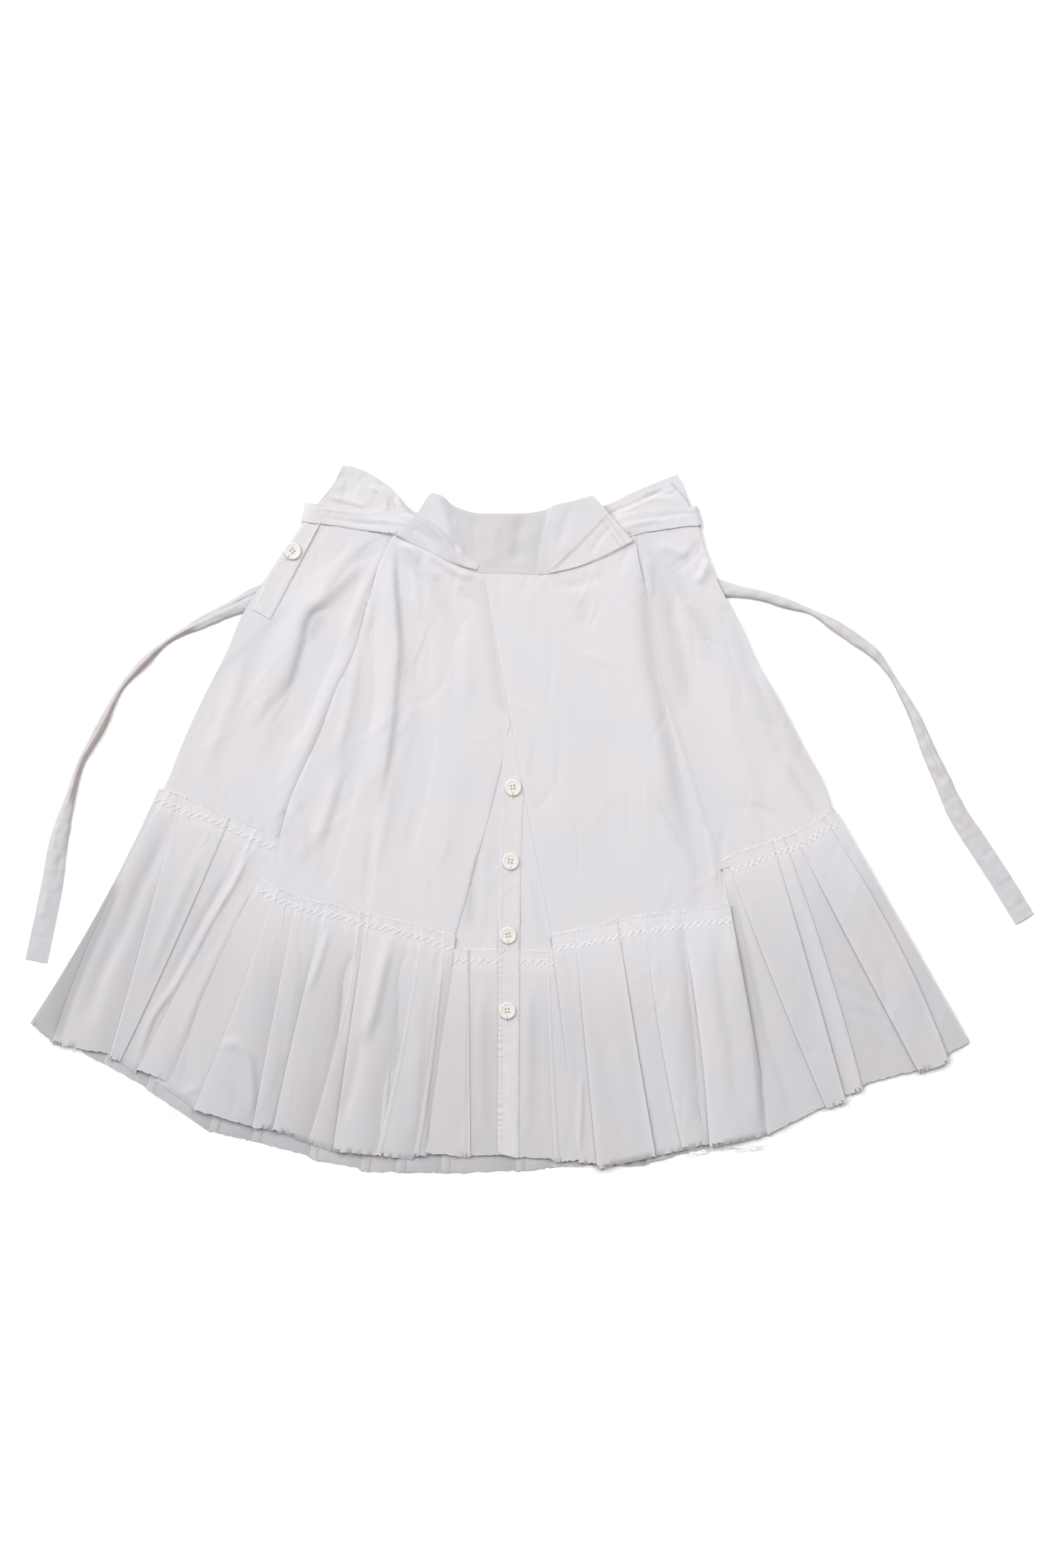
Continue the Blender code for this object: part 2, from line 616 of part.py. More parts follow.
corner_right = patch(
    [(19, 258.5), (22, 255.5)],
    [(80, 318.5), (107.5, 288.5)],
    [(51.5, 289)],
    [(51.5, 262), (81.5, 275)],
    6,
    3,
)
panel("band_corner_right", corner_right, BAND_CORNER)

# Ties: from the ends of the band, over the yokes, round the edges, crossed under the back.
tie_left = [
    Lay((-128.5, 305.5), 9.5, 45, 27, 0),
    Lay((-146, 308), 8.9, 72, 24, 0),
    Lay((-173.5, 311), STRAP_LEFT, 84, 21, 0),
    Lay((-203.5, 315.5), STRAP_LEFT, 84, 21, 0),
    *round_edge((-230.5, 318.5), STRAP_LEFT, 75, 21, 1),
    Lay((-196, 312.5), ON_TABLE, 79, TIE_WIDTH, 0),
    Lay((-23.5, 280), ON_TABLE, None, TIE_WIDTH, 0),
    Lay((126.5, 251.5), ON_TABLE, None, TIE_WIDTH, 0),
    Lay((201.5, 237.5), ON_TABLE, None, TIE_WIDTH, 80),
    Lay((212, 236.5), ON_TABLE, None, TIE_WIDTH, 170),
    Lay((224, 234.5), ON_TABLE, None, TIE_WIDTH, 245),
    Lay((242.5, 230.5), ON_TABLE, None, TIE_WIDTH, 285),
    Lay((295, 215), ON_TABLE, None, TIE_WIDTH, 295),
    Lay((327.5, 197), ON_TABLE, None, TIE_WIDTH, 280),
    Lay((360.5, 170.5), ON_TABLE, None, TIE_WIDTH, 240),
    Lay((380, 143), ON_TABLE, None, TIE_WIDTH, 260),
    Lay((395.5, 110.5), ON_TABLE, None, TIE_WIDTH, 285),
    Lay((411.5, 79), ON_TABLE, None, TIE_WIDTH, 240),
    Lay((424, 55), ON_TABLE, None, TIE_WIDTH, 175),
    Lay((434.5, 29), ON_TABLE, None, TIE_WIDTH, 120),
    Lay((448, -2.5), ON_TABLE, None, TIE_WIDTH, 90),
    Lay((465.5, -34), ON_TABLE, None, TIE_WIDTH, 30),
    Lay((513.5, -104), ON_TABLE, None, TIE_WIDTH, 60),
]
tie("tie_left", tie_left)
tie_right = [
    Lay((98, 305), 8.6, 128, 26, 0),
    Lay((116, 308.5), 7.9, 105, 23, 0),
    Lay((143, 311.5), STRAP_RIGHT, 94, 21, 0),
    Lay((162.5, 314), STRAP_RIGHT, 98, 21, 0),
    *round_edge((174.5, 314.5), STRAP_RIGHT, 104, 21, -1),
    Lay((149, 309.5), ON_TABLE, 101, TIE_WIDTH, 0),
    Lay((68, 294.5), ON_TABLE, None, TIE_WIDTH, 0),
    Lay((50, 290.5), OVER_TIE, None, TIE_WIDTH, 0),
    Lay((-82, 266), OVER_TIE, None, TIE_WIDTH, 0),
    Lay((-100, 262), ON_TABLE, None, TIE_WIDTH, 0),
    Lay((-211, 241), ON_TABLE, None, TIE_WIDTH, 0),
    Lay((-284.5, 227), ON_TABLE, None, TIE_WIDTH, 60),
    Lay((-316, 216.5), ON_TABLE, None, TIE_WIDTH, 190),
    Lay((-350, 201.5), ON_TABLE, None, TIE_WIDTH, 215),
    Lay((-384.5, 179.5), ON_TABLE, None, TIE_WIDTH, 250),
    Lay((-409, 153.5), ON_TABLE, None, TIE_WIDTH, 250),
    Lay((-430, 122.5), ON_TABLE, None, TIE_WIDTH, 235),
    Lay((-446.5, 96.5), ON_TABLE, None, TIE_WIDTH, 245),
    Lay((-457, 76), ON_TABLE, None, TIE_WIDTH, 270),
    Lay((-466, 50.5), ON_TABLE, None, TIE_WIDTH, 285),
    Lay((-474.5, 25), ON_TABLE, None, TIE_WIDTH, 280),
    Lay((-482.5, -1), ON_TABLE, None, TIE_WIDTH, 180),
    Lay((-488, -26), ON_TABLE, None, TIE_WIDTH, 110),
    Lay((-492.5, -48.5), ON_TABLE, None, TIE_WIDTH, 90),
    Lay((-500.5, -86), ON_TABLE, None, TIE_WIDTH, 80),
    Lay((-511, -146.5), ON_TABLE, None, TIE_WIDTH, 10),
]
tie("tie_right", tie_right)

# Buttons, down the centre placket and on the side one.
button("button_1", (-16.5, 33.5), ON_FRONT + LAYER)
button("button_2", (-19, -43), ON_FRONT + LAYER)
button("button_3", (-21.5, -120.5), OVER_FLOUNCE + LAYER)
button("button_4", (-22, -197.5), OVER_FLOUNCE + LAYER)
button("side_button", (-245, 278), ON_FRONT + LAYER)
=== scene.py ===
# %% [markdown]
# # A white cotton skirt, laid flat
#
# The real object is a summer skirt of white cotton poplin. A buttoned centre front lies beneath two
# crossing panels, pleated flounces with raw edges run round the lower part, and two long ties leave
# the ends of the waistband. It lies on a table, front up, and the camera looks straight down at it.
#
# White cloth on white shows almost nothing but its own soft shadows. So this lesson spends its effort
# on the height of the cloth: each fold, pleat and seam is a low relief of real size, in millimetres.

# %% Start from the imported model
import math
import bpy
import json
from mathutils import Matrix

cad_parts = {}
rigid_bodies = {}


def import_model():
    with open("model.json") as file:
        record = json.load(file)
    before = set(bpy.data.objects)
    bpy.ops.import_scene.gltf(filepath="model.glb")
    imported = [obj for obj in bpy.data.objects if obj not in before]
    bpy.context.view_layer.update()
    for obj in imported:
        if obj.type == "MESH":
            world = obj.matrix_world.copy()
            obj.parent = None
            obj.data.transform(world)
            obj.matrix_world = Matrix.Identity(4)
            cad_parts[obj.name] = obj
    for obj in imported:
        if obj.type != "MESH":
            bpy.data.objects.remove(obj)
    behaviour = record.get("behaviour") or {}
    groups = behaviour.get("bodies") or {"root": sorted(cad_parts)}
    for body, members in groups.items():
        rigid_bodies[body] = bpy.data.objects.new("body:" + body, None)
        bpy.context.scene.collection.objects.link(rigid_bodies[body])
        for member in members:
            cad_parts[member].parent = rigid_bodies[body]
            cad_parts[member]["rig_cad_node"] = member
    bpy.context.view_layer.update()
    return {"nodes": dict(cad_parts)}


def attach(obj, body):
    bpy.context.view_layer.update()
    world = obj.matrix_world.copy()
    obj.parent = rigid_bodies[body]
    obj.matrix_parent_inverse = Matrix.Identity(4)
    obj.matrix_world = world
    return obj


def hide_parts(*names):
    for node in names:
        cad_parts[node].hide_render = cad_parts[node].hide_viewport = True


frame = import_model()
print("packed nodes:", len(frame["nodes"]))

# %% The modules that shape the cloth
import json
from collections import namedtuple

import bpy
import numpy as np

MM = 0.001
chance = np.random.default_rng(7)

# %% [markdown]
# ## The camera and the light
#
# The skirt was seen from straight above. A long lens far away keeps the layers from shifting against
# each other, so the plan of each piece is what the picture shows. The light is one large soft lamp at
# the upper left, with an even white surround: folds turn bright on their left and dark on their right,
# and the upper part of the skirt is a little lighter than its hem.

# %% Camera, lamps and table
VIEW_MIDDLE = (-6.75, 37.1)  # point of the table below the camera, in mm
VIEW_HEIGHT = 1626.0  # length of table that the frame shows from top to bottom
LENS = 85.0
SENSOR = 36.0

lens = bpy.data.cameras.new("camera")
lens.lens = LENS
lens.sensor_width = SENSOR
camera = bpy.data.objects.new("camera", lens)
distance = LENS * VIEW_HEIGHT / SENSOR
camera.location = (VIEW_MIDDLE[0] * MM, VIEW_MIDDLE[1] * MM, distance * MM)
bpy.context.scene.collection.objects.link(camera)
bpy.context.scene.camera = camera
print(f"camera {distance:.0f} mm above the table")


def lamp(name, at, aim, size, power):
    """A square area lamp at a point, turned so that it shines towards another."""
    light = bpy.data.lights.new(name, "AREA")
    light.size = size
    light.energy = power
    made = bpy.data.objects.new(name, light)
    made.location = at
    away = np.subtract(at, aim)
    flat = math.hypot(away[0], away[1])
    made.rotation_euler = (math.atan2(flat, away[2]), 0, math.atan2(away[1], away[0]) + math.pi / 2)
    bpy.context.scene.collection.objects.link(made)


lamp("window lamp", (-4.3, 3.1, 4.9), (0.0, 0.0, 0.0), 6.0, 520)
lamp("upper lamp", (1.0, 1.5, 2.3), (0.0, 0.2, 0.0), 1.4, 36)
surround = bpy.data.worlds.new("surround")
surround.use_nodes = True
surround.node_tree.nodes["Background"].inputs["Color"].default_value = (1.0, 1.0, 1.0, 1.0)
surround.node_tree.nodes["Background"].inputs["Strength"].default_value = 0.42
bpy.context.scene.world = surround
bpy.context.scene.view_settings.view_transform = "Standard"

# %% [markdown]
# ## Finishes
#
# Cotton poplin is matt, with a faint sheen where threads lie over each other, and it is never quite
# one colour. A picture of cloth could be wrapped over it, but threads worked out from the position
# stay sharp at any distance. Two sets of fine bands at right angles make the weave, a soft noise makes
# the slubs, and a wider noise tints the cloth by about one part in a hundred.

# %% The cloth
THREAD_PITCH = 0.45  # mm between threads, as wide as reads at this size
WARM = (1.012, 0.995, 0.985)  # shares of the cloth's colour in its warmer patches
COOL = (0.99, 0.995, 1.01)  # and in its cooler ones


def node(tree, kind, **values):
    """Adds a node to a tree and sets its inputs by name."""
    made = tree.nodes.new(kind)
    for key, value in values.items():
        made.inputs[key.replace("_", " ")].default_value = value
    return made


def cotton(name, colour, weave=0.25, takes_painted_shading=True):
    """Matt woven cloth: bands along X and Y for the weave and two noises for slubs and tint.

    The colour is multiplied by an attribute of the mesh that holds painted shade: it is lower in rolled
    and hollow parts, and above 1 where light is painted.
    """
    made = bpy.data.materials.new(name)
    made.use_nodes = True
    tree = made.node_tree
    link = tree.links.new
    shader = tree.nodes["Principled BSDF"]
    shader.inputs["Roughness"].default_value = 0.88
    shader.inputs["Sheen Weight"].default_value = 0.12
    shader.inputs["Sheen Roughness"].default_value = 0.6
    shader.inputs["Specular IOR Level"].default_value = 0.25
    place = tree.nodes.new("ShaderNodeTexCoord")
    tint = node(tree, "ShaderNodeTexNoise", Scale=9.0, Detail=5.0)
    link(place.outputs["Object"], tint.inputs["Vector"])
    blend = tree.nodes.new("ShaderNodeValToRGB")
    blend.color_ramp.elements[0].position = 0.35
    blend.color_ramp.elements[0].color = (*[c * share for c, share in zip(colour, WARM)], 1.0)
    blend.color_ramp.elements[1].position = 0.65
    blend.color_ramp.elements[1].color = (*[c * share for c, share in zip(colour, COOL)], 1.0)
    link(tint.outputs["Fac"], blend.inputs["Fac"])
    link(blend.outputs["Color"], shader.inputs["Base Color"])
    # painted shade and painted light, carried by an attribute of each piece of cloth
    if takes_painted_shading:
        painted_shading = tree.nodes.new("ShaderNodeAttribute")
        painted_shading.attribute_name = "painted_shading"
        shaded = tree.nodes.new("ShaderNodeVectorMath")
        shaded.operation = "MULTIPLY"
        link(blend.outputs["Color"], shaded.inputs[0])
        link(painted_shading.outputs["Vector"], shaded.inputs[1])
        link(shaded.outputs["Vector"], shader.inputs["Base Color"])
    slubs = node(tree, "ShaderNodeTexNoise", Scale=900.0, Detail=3.0)
    link(place.outputs["Object"], slubs.inputs["Vector"])
    height = slubs.outputs["Fac"]
    for direction in ("X", "Y"):
        bands = node(tree, "ShaderNodeTexWave", Scale=1000.0 / THREAD_PITCH / 20.0, Distortion=0.6)
        bands.bands_direction = direction
        link(place.outputs["Object"], bands.inputs["Vector"])
        add = tree.nodes.new("ShaderNodeMath")
        add.operation = "ADD"
        link(height, add.inputs[0])
        link(bands.outputs["Fac"], add.inputs[1])
        height = add.outputs[0]
    bump = node(tree, "ShaderNodeBump", Strength=weave, Distance=0.0001)
    link(height, bump.inputs["Height"])
    link(bump.outputs["Normal"], shader.inputs["Normal"])
    return made


white_cotton = cotton("white_cotton", (0.580, 0.563, 0.585))
ivory_cotton = cotton("ivory_cotton", (0.588, 0.569, 0.582))
thread_white = cotton("thread_white", (0.80, 0.79, 0.80), weave=0.1, takes_painted_shading=False)
FINISHES = {"white_cotton": white_cotton, "ivory_cotton": ivory_cotton}


def plain(name, colour, roughness, bump_scale=600.0):
    """A smooth finish with a fine noise in its height."""
    made = bpy.data.materials.new(name)
    made.use_nodes = True
    tree = made.node_tree
    shader = tree.nodes["Principled BSDF"]
    shader.inputs["Base Color"].default_value = (*colour, 1.0)
    shader.inputs["Roughness"].default_value = roughness
    place = tree.nodes.new("ShaderNodeTexCoord")
    grain = node(tree, "ShaderNodeTexNoise", Scale=bump_scale, Detail=2.0)
    tree.links.new(place.outputs["Object"], grain.inputs["Vector"])
    bump = node(tree, "ShaderNodeBump", Strength=0.05, Distance=0.0002)
    tree.links.new(grain.outputs["Fac"], bump.inputs["Height"])
    tree.links.new(bump.outputs["Normal"], shader.inputs["Normal"])
    return made


table_white = plain("table_white", (0.93, 0.93, 0.93), 0.9, 60.0)

# %% [markdown]
# ## The table
#
# A plain pale board, a good deal larger than the skirt, so that every view from the side still sees it.

# %% A flat board
TABLE_HALF = 3.0
SHARP = 50.0  # degrees between two faces from which their edge stays crisp


def quads_mesh(name, points, faces, material):
    """A mesh object from arrays: points in mm, four corners to each face, smoothly shaded."""
    mesh = bpy.data.meshes.new(name)
    points = np.asarray(points, float).reshape(-1, 3)
    faces = np.asarray(faces, int).reshape(-1, 4)
    corner = points[faces]
    half = np.cross(corner[:, 1] - corner[:, 0], corner[:, 2] - corner[:, 0])
    other = np.cross(corner[:, 2] - corner[:, 0], corner[:, 3] - corner[:, 0])
    if ((half + other) * (corner.mean(axis=1) - points.mean(axis=0))).sum() < 0:
        faces = faces[:, ::-1]
    mesh.vertices.add(len(points))
    mesh.vertices.foreach_set("co", (points * MM).ravel())
    mesh.loops.add(faces.size)
    mesh.loops.foreach_set("vertex_index", faces.ravel())
    mesh.polygons.add(len(faces))
    mesh.polygons.foreach_set("loop_start", np.arange(0, faces.size, 4))
    mesh.polygons.foreach_set("use_smooth", np.ones(len(faces), bool))
    mesh.update(calc_edges=True)
    mesh.validate()
    mesh.set_sharp_from_angle(angle=math.radians(SHARP))
    mesh.materials.append(material)
    made = bpy.data.objects.new(name, mesh)
    bpy.context.scene.collection.objects.link(made)
    return made


corners = np.array([(-1, -1, 0), (1, -1, 0), (1, 1, 0), (-1, 1, 0)]) * TABLE_HALF / MM
table = quads_mesh("table", corners - (0, 0, 0.05), [(0, 1, 2, 3)], table_white)

# %% [markdown]
# ## Smooth lines and soft ground
#
# Everything on this skirt is drawn with lines: the outline of a panel, the crest of a fold, the edge of
# a pleat. A line is a few points, and a cubic curve passes through them. A panel is the surface between
# four such lines. Folds are then laid over the plan as ridges, troughs and steps that follow their own
# lines, because a crease in cloth is long and narrow and keeps its shape along its run.

# %% Lines
def unit(vectors):
    """Vectors brought to length one."""
    return vectors / np.maximum(np.linalg.norm(vectors, axis=-1, keepdims=True), 1e-9)


def length_of(points):
    """Length of a line: the sum of the steps from point to point."""
    return np.linalg.norm(np.diff(np.asarray(points, float), axis=0), axis=1).sum()


def shares_of(points):
    """How far along a line each of its points lies, from 0 to 1."""
    steps = np.linalg.norm(np.diff(points, axis=0), axis=1)
    return np.concatenate([[0], np.cumsum(steps)]) / steps.sum()


def through(knots, at, shares):
    """Values at shares of a run, on cubic curves through knots that lie at the shares at.

    Between the knots a and b, with s from 0 to 1 and each slope taken from the neighbours:
    (2s^3 - 3s^2 + 1) a + (s^3 - 2s^2 + s) a' + (3s^2 - 2s^3) b + (s^3 - s^2) b'.
    """
    slope = np.gradient(knots, at, axis=0)
    k = np.clip(np.searchsorted(at, shares, side="right") - 1, 0, len(at) - 2)
    width = (at[k + 1] - at[k])[..., None]
    s = (shares - at[k])[..., None] / width
    start = (2 * s**3 - 3 * s**2 + 1) * knots[k] + (s**3 - 2 * s**2 + s) * width * slope[k]
    return start + (3 * s**2 - 2 * s**3) * knots[k + 1] + (s**3 - s**2) * width * slope[k + 1]


def along(points, shares):
    """Points at given shares of a line: straight between two points, curved through three or more."""
    points = np.array(points, float)
    shares = np.asarray(shares, float)
    at = shares_of(points)
    if len(points) < 3:
        return np.stack([np.interp(shares, at, column) for column in points.T], axis=-1)
    return through(points, at, shares)


def smoothstep(t):
    """0 below 0, 1 above 1, and 3t^2 - 2t^3 between."""
    t = np.clip(t, 0, 1)
    return t * t * (3 - 2 * t)


def beside(distance, reach):
    """1 on a line, dying away on both sides: exp(-(d/r)^2), which is 0.37 at the reach."""
    return np.exp(-((distance / reach) ** 2))


# %% Folds on the plan
Fold = namedtuple("Fold", "line height west east fade", defaults=[0.25])
# A ridge (height above 0) or a trough (below 0) along a line that runs down the skirt. west and east
# are its half widths on the viewer's left and right, and fade the share of its length at both ends
# over which it dies away. All in mm.
Step = namedtuple("Step", "line height west east")
# A change of level: the cloth on the right of the line lies higher by height, and it climbs from west
# before the line to east after it.
FOLD_GAIN = 1.7  # the heights in the tables are those of pressed cloth, and soft light needs more
PAST_END = 0.02  # share of its length by which a fold runs on past both its ends
AT_ONCE = 20000  # points compared with a line in one go
WAVES = 14  # sine waves in the uneven ground of a piece


def off_line(plan, line, samples=80):
    """For each point of a plan: how far it lies to the right of a line, and its share along it."""
    shares = np.linspace(0, 1, samples)
    at = along(line, shares)
    run = unit(np.gradient(at, axis=0))
    flat = plan.reshape(-1, 2)
    nearest = np.empty(len(flat), int)
    for start in range(0, len(flat), AT_ONCE):
        part = flat[start : start + AT_ONCE]
        nearest[start : start + AT_ONCE] = ((part[:, None] - at[None]) ** 2).sum(axis=-1).argmin(axis=1)
    away = flat - at[nearest]
    aside = -away[:, 0] * run[nearest, 1] + away[:, 1] * run[nearest, 0]
    share = shares[nearest] + (away * run[nearest]).sum(axis=1) / length_of(at)
    return aside.reshape(plan.shape[:-1]), share.reshape(plan.shape[:-1])


def profile(plan, fold):
    """h exp(-(d/w)^2) across the line of a fold, fading out at both its ends."""
    aside, share = off_line(plan, fold.line)
    width = np.where(aside < 0, fold.west, fold.east)
    start = smoothstep((share + PAST_END) / fold.fade)
    ends = start * smoothstep((1 + PAST_END - share) / fold.fade)
    return fold.height * beside(aside, width) * ends


def relief(plan, folds, gain=FOLD_GAIN):
    """Height of the cloth at each point: the sum of its folds' profiles, and h smoothstep for a step."""
    rise = np.zeros(plan.shape[:-1])
    for fold in folds:
        if isinstance(fold, Step):
            aside, _ = off_line(plan, fold.line)
            rise += fold.height * smoothstep((aside + fold.west) / (fold.west + fold.east))
        else:
            rise += profile(plan, fold)
    return rise * gain


# Painted light and shade along lines: the result is multiplied into the cloth's colour, darker beside
# creases and seams, and lighter where a line's height is below 0.
def shading_along_lines(plan, lines):
    """Share of the light left beside dark lines: the product of 1 less each line's profile."""
    light = np.ones(plan.shape[:-1])
    for line in lines:
        light *= 1 - profile(plan, line)
    return light


def crumple(plan, wave, height, seed=1, stretch=1.0):
    """Soft uneven ground: a sum of sine waves in many directions, with lengths about wave."""
    draw = np.random.default_rng(seed)
    angle = draw.uniform(0, math.pi, WAVES)
    lengths = wave * draw.uniform(0.6, 1.8, WAVES)
    phase = draw.uniform(0, 2 * math.pi, WAVES)
    k = 2 * math.pi / lengths[:, None] * np.stack([np.cos(angle), np.sin(angle) * stretch], axis=-1)
    return height * np.sin(plan @ k.T + phase).sum(axis=-1) / math.sqrt(WAVES)


# %% [markdown]
# ## Small wrinkles
#
# Between the long folds the cloth is full of short shallow wrinkles from handling. Each is a bump or a
# dent a few centimetres long and a few millimetres wide, a little bent. They are drawn from a seeded
# chance about a main direction, so every panel has its own.

# %% Many short wrinkles at once
def wrinkles(plan, count, angle, seed, long=(14, 40), half=(2.0, 4.5), high=(0.16, 0.55), spread=25):
    """Sum of h exp(-(a/L)^2) exp(-((b - k a^2)/w)^2): a runs along each wrinkle and b across it."""
    draw = np.random.default_rng(seed)
    low, top = plan.reshape(-1, 2).min(axis=0), plan.reshape(-1, 2).max(axis=0)
    rise = np.zeros(plan.shape[:-1])
    for _ in range(count):
        at = draw.uniform(low, top)
        way = math.radians(angle + spread * draw.normal())
        length, width, height = draw.uniform(*long), draw.uniform(*half), draw.uniform(*high)
        bend = draw.normal(scale=0.25) / length
        sign = draw.choice((-1, 1))
        away = plan - at
        a = away[..., 0] * math.cos(way) + away[..., 1] * math.sin(way)
        b = away[..., 1] * math.cos(way) - away[..., 0] * math.sin(way) - bend * a * a
        rise += sign * height * np.exp(-((a / length) ** 2) - (b / width) ** 2)
    return rise


# %% [markdown]
# ## Cloth with two sides
#
# Cloth could be a single sheet of faces, but then its edges would be paper thin and its back would be
# missing from the printed or exported part. Each panel is therefore a closed shell: the middle surface
# moved out by half the thickness to both sides, and a rim of faces round its edge.

# %% The shell of a piece
THICK = 0.6  # mm; thicker than poplin, so that the edges read
made_pieces = {}


def shell_faces(across, down):
    """Faces of a closed shell over a grid: the top, the underside turned over, and the rim."""
    top = np.arange(across * down).reshape(across, down)
    under = top + across * down
    quads = [top[:-1, :-1], top[1:, :-1], top[1:, 1:], top[:-1, 1:]]
    upper = np.stack(quads, axis=-1).reshape(-1, 4)
    lower = np.stack([q + across * down for q in quads[::-1]], axis=-1).reshape(-1, 4)
    ring = np.concatenate([top[:, 0], top[-1, 1:], top[-2::-1, -1], top[0, -2:0:-1]])
    low_ring = np.concatenate([under[:, 0], under[-1, 1:], under[-2::-1, -1], under[0, -2:0:-1]])
    rim = np.stack([np.roll(ring, -1), ring, low_ring, np.roll(low_ring, -1)], axis=-1)
    return np.concatenate([upper, lower, rim])


def cloth(name, middle, finish, painted_shading=1.0, thick=THICK):
    """A closed shell about the middle surface: n is across x down, normalised, and moved by n t/2."""
    normal = unit(np.cross(np.gradient(middle, axis=0), np.gradient(middle, axis=1)))
    points = np.concatenate([middle + normal * thick / 2, middle - normal * thick / 2])
    made = quads_mesh(name + "_cloth", points, shell_faces(*middle.shape[:2]), FINISHES[finish])
    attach(made, "root")
    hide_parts(name)
    # Painted shade: a share or a colour for each point, multiplied into the colour of the cloth.
    if np.ndim(painted_shading) < 3:
        painted_shading = np.broadcast_to(painted_shading, middle.shape[:2])[..., None]
    shade = np.broadcast_to(painted_shading, middle.shape).reshape(-1, 3)
    shading_attribute = made.data.attributes.new("painted_shading", "FLOAT_VECTOR", "POINT")
    shading_attribute.data.foreach_set("vector", np.concatenate([shade, shade]).ravel())
    a = middle[1:, :-1] - middle[:-1, :-1]
    b = middle[:-1, 1:] - middle[:-1, :-1]
    area = np.linalg.norm(np.cross(a, b), axis=-1).sum() * 1e-6
    made_pieces[name] = (made, area)
    low, high = middle[..., 2].min(), middle[..., 2].max()
    across, down = middle.shape[:2]
    print(f"{name}: {across} x {down} points, {area:.4f} m2, {low:.1f} to {high:.1f} mm high")


def between(left, right, top, bottom, pitch):
    """Plan of a panel between four lines: (1-u)L + uR + (1-v)T + vB less the corners' bilinear mix.

    left and right run from the top down; top and bottom hold only the points between the corners.
    """
    top = np.array([left[0], *top, right[0]], float)
    bottom = np.array([left[-1], *bottom, right[-1]], float)
    left = np.array(left, float)
    right = np.array(right, float)
    long = [length_of(line) for line in (top, bottom, left, right)]
    u = np.linspace(0, 1, int(max(long[:2]) / pitch) + 2)
    v = np.linspace(0, 1, int(max(long[2:]) / pitch) + 2)
    sides = [along(line, v)[None] for line in (left, right)]
    ends = [along(line, u)[:, None] for line in (top, bottom)]
    u = u[:, None, None]
    v = v[None, :, None]
    mix = (1 - u) * (1 - v) * sides[0][:, :1] + u * (1 - v) * sides[1][:, :1]
    mix = mix + (1 - u) * v * sides[0][:, -1:] + u * v * sides[1][:, -1:]
    return (1 - u) * sides[0] + u * sides[1] + (1 - v) * ends[0] + v * ends[1] - mix


def lifted(plan, height):
    """A plan with its height as third coordinate."""
    return np.dstack([plan, np.broadcast_to(height, plan.shape[:2])])


# %% [markdown]
# ## How the layers rest on each other
#
# Cut cloth lies on the cloth below it right up to its edge. If an edge floats even a millimetre above
# the next layer, a black line appears there that no real skirt has. So each piece is made in the order
# in which it was laid down, and its free edges come down to whatever lies below, found by a ray that
# looks straight down.

# %% Touching down at the edges
DROP = 3.5  # the most that an edge comes down, in mm
ABOVE_ALL = 0.1  # height in m from which the ray looks down


def top_at(points):
    """Height in mm of the highest surface below each point of the plan."""
    bpy.context.view_layer.update()
    graph = bpy.context.evaluated_depsgraph_get()
    cast = bpy.context.scene.ray_cast
    found = []
    for x, y in np.asarray(points, float).reshape(-1, 2).tolist():
        hit = cast(graph, (x * MM, y * MM, ABOVE_ALL), (0, 0, -1))
        found.append(hit[1][2] / MM if hit[0] else 0.0)
    return np.array(found).reshape(np.shape(points)[:-1])


def come_down(plan, height, near, gap=0.05, over=0.0, drop=DROP):
    """Height that falls to the layer below (plus over) as near goes from 0 to 1, by drop at the most."""
    below = top_at(plan) + THICK / 2 + gap + over
    low = np.minimum(height, np.maximum(below, height - drop))
    return height * (1 - near) + low * near


def near_sides(plan, reach, sides):
    """1 on the named sides of a grid (W and E across, N and S down) and e^-1 at the reach from them."""
    u = np.linalg.norm(np.diff(plan, axis=0), axis=-1)
    v = np.linalg.norm(np.diff(plan, axis=1), axis=-1)
    none = np.full(plan.shape[:2], 1e3)
    away = {
        "W": np.concatenate([0 * u[:1], np.cumsum(u, axis=0)]),
        "E": np.concatenate([np.cumsum(u[::-1], axis=0)[::-1], 0 * u[:1]]),
        "N": np.concatenate([0 * v[:, :1], np.cumsum(v, axis=1)], axis=1),
        "S": np.concatenate([np.cumsum(v[:, ::-1], axis=1)[:, ::-1], 0 * v[:, :1]], axis=1),
    }
    nearest = np.minimum.reduce([none, *[away[side] for side in sides]])
    return beside(nearest, reach)


# %% [markdown]
# ## The outlines
#
# The same lines bound several pieces: the princess seams belong to the side fronts, to the buttoned
# centre and to the crossing panels, and the side outlines to the back as well. So they are named once.
# All of them run from the waist down, in millimetres, with the middle of the skirt near x = 0.

# %% Seams and edges
SIDE_LEFT = [
    (-223, 320), (-233.5, 307), (-254, 278), (-271, 252.5), (-296, 214), (-313, 173.5),
    (-333.5, 134), (-359.5, 77.5), (-374.5, 40), (-384.5, 20.5),
]
SIDE_RIGHT = [
    (173, 315.5), (176.5, 300.5), (184, 274), (195.5, 246.5), (219.5, 199), (239, 155.5),
    (254, 131), (284, 74), (301, 44), (317, -2),
]
SEAM_LEFT = [
    (-139, 298), (-152.5, 270.5), (-167.5, 222.5), (-183.5, 168.5), (-200.5, 132.5), (-212.5, 100),
    (-248.5, 17.5), (-264.5, -31),
]
SEAM_RIGHT = [
    (110, 296.5), (112, 278), (120.5, 237.5), (128, 189.5), (137.5, 142), (152.5, 100), (164, 62.5),
    (182.5, 2.5), (200, -52),
]
SEAM_LEFT_LOW = [(-271, -51.5), (-277, -73)]
TUCKED_LOW = [(-281, -53.5), (-289, -78.5)]
SEAM_RIGHT_LOW = [(203, -66.5), (209, -96.5)]
EDGE_LEFT = [(20, 266.5), (-21.5, 92.5), (-31, 47.5), (-61, -65), (-79, -128.5)]
EDGE_RIGHT = [(-49, 268), (-18.5, 100), (2.5, -12.5), (26.5, -128.5)]
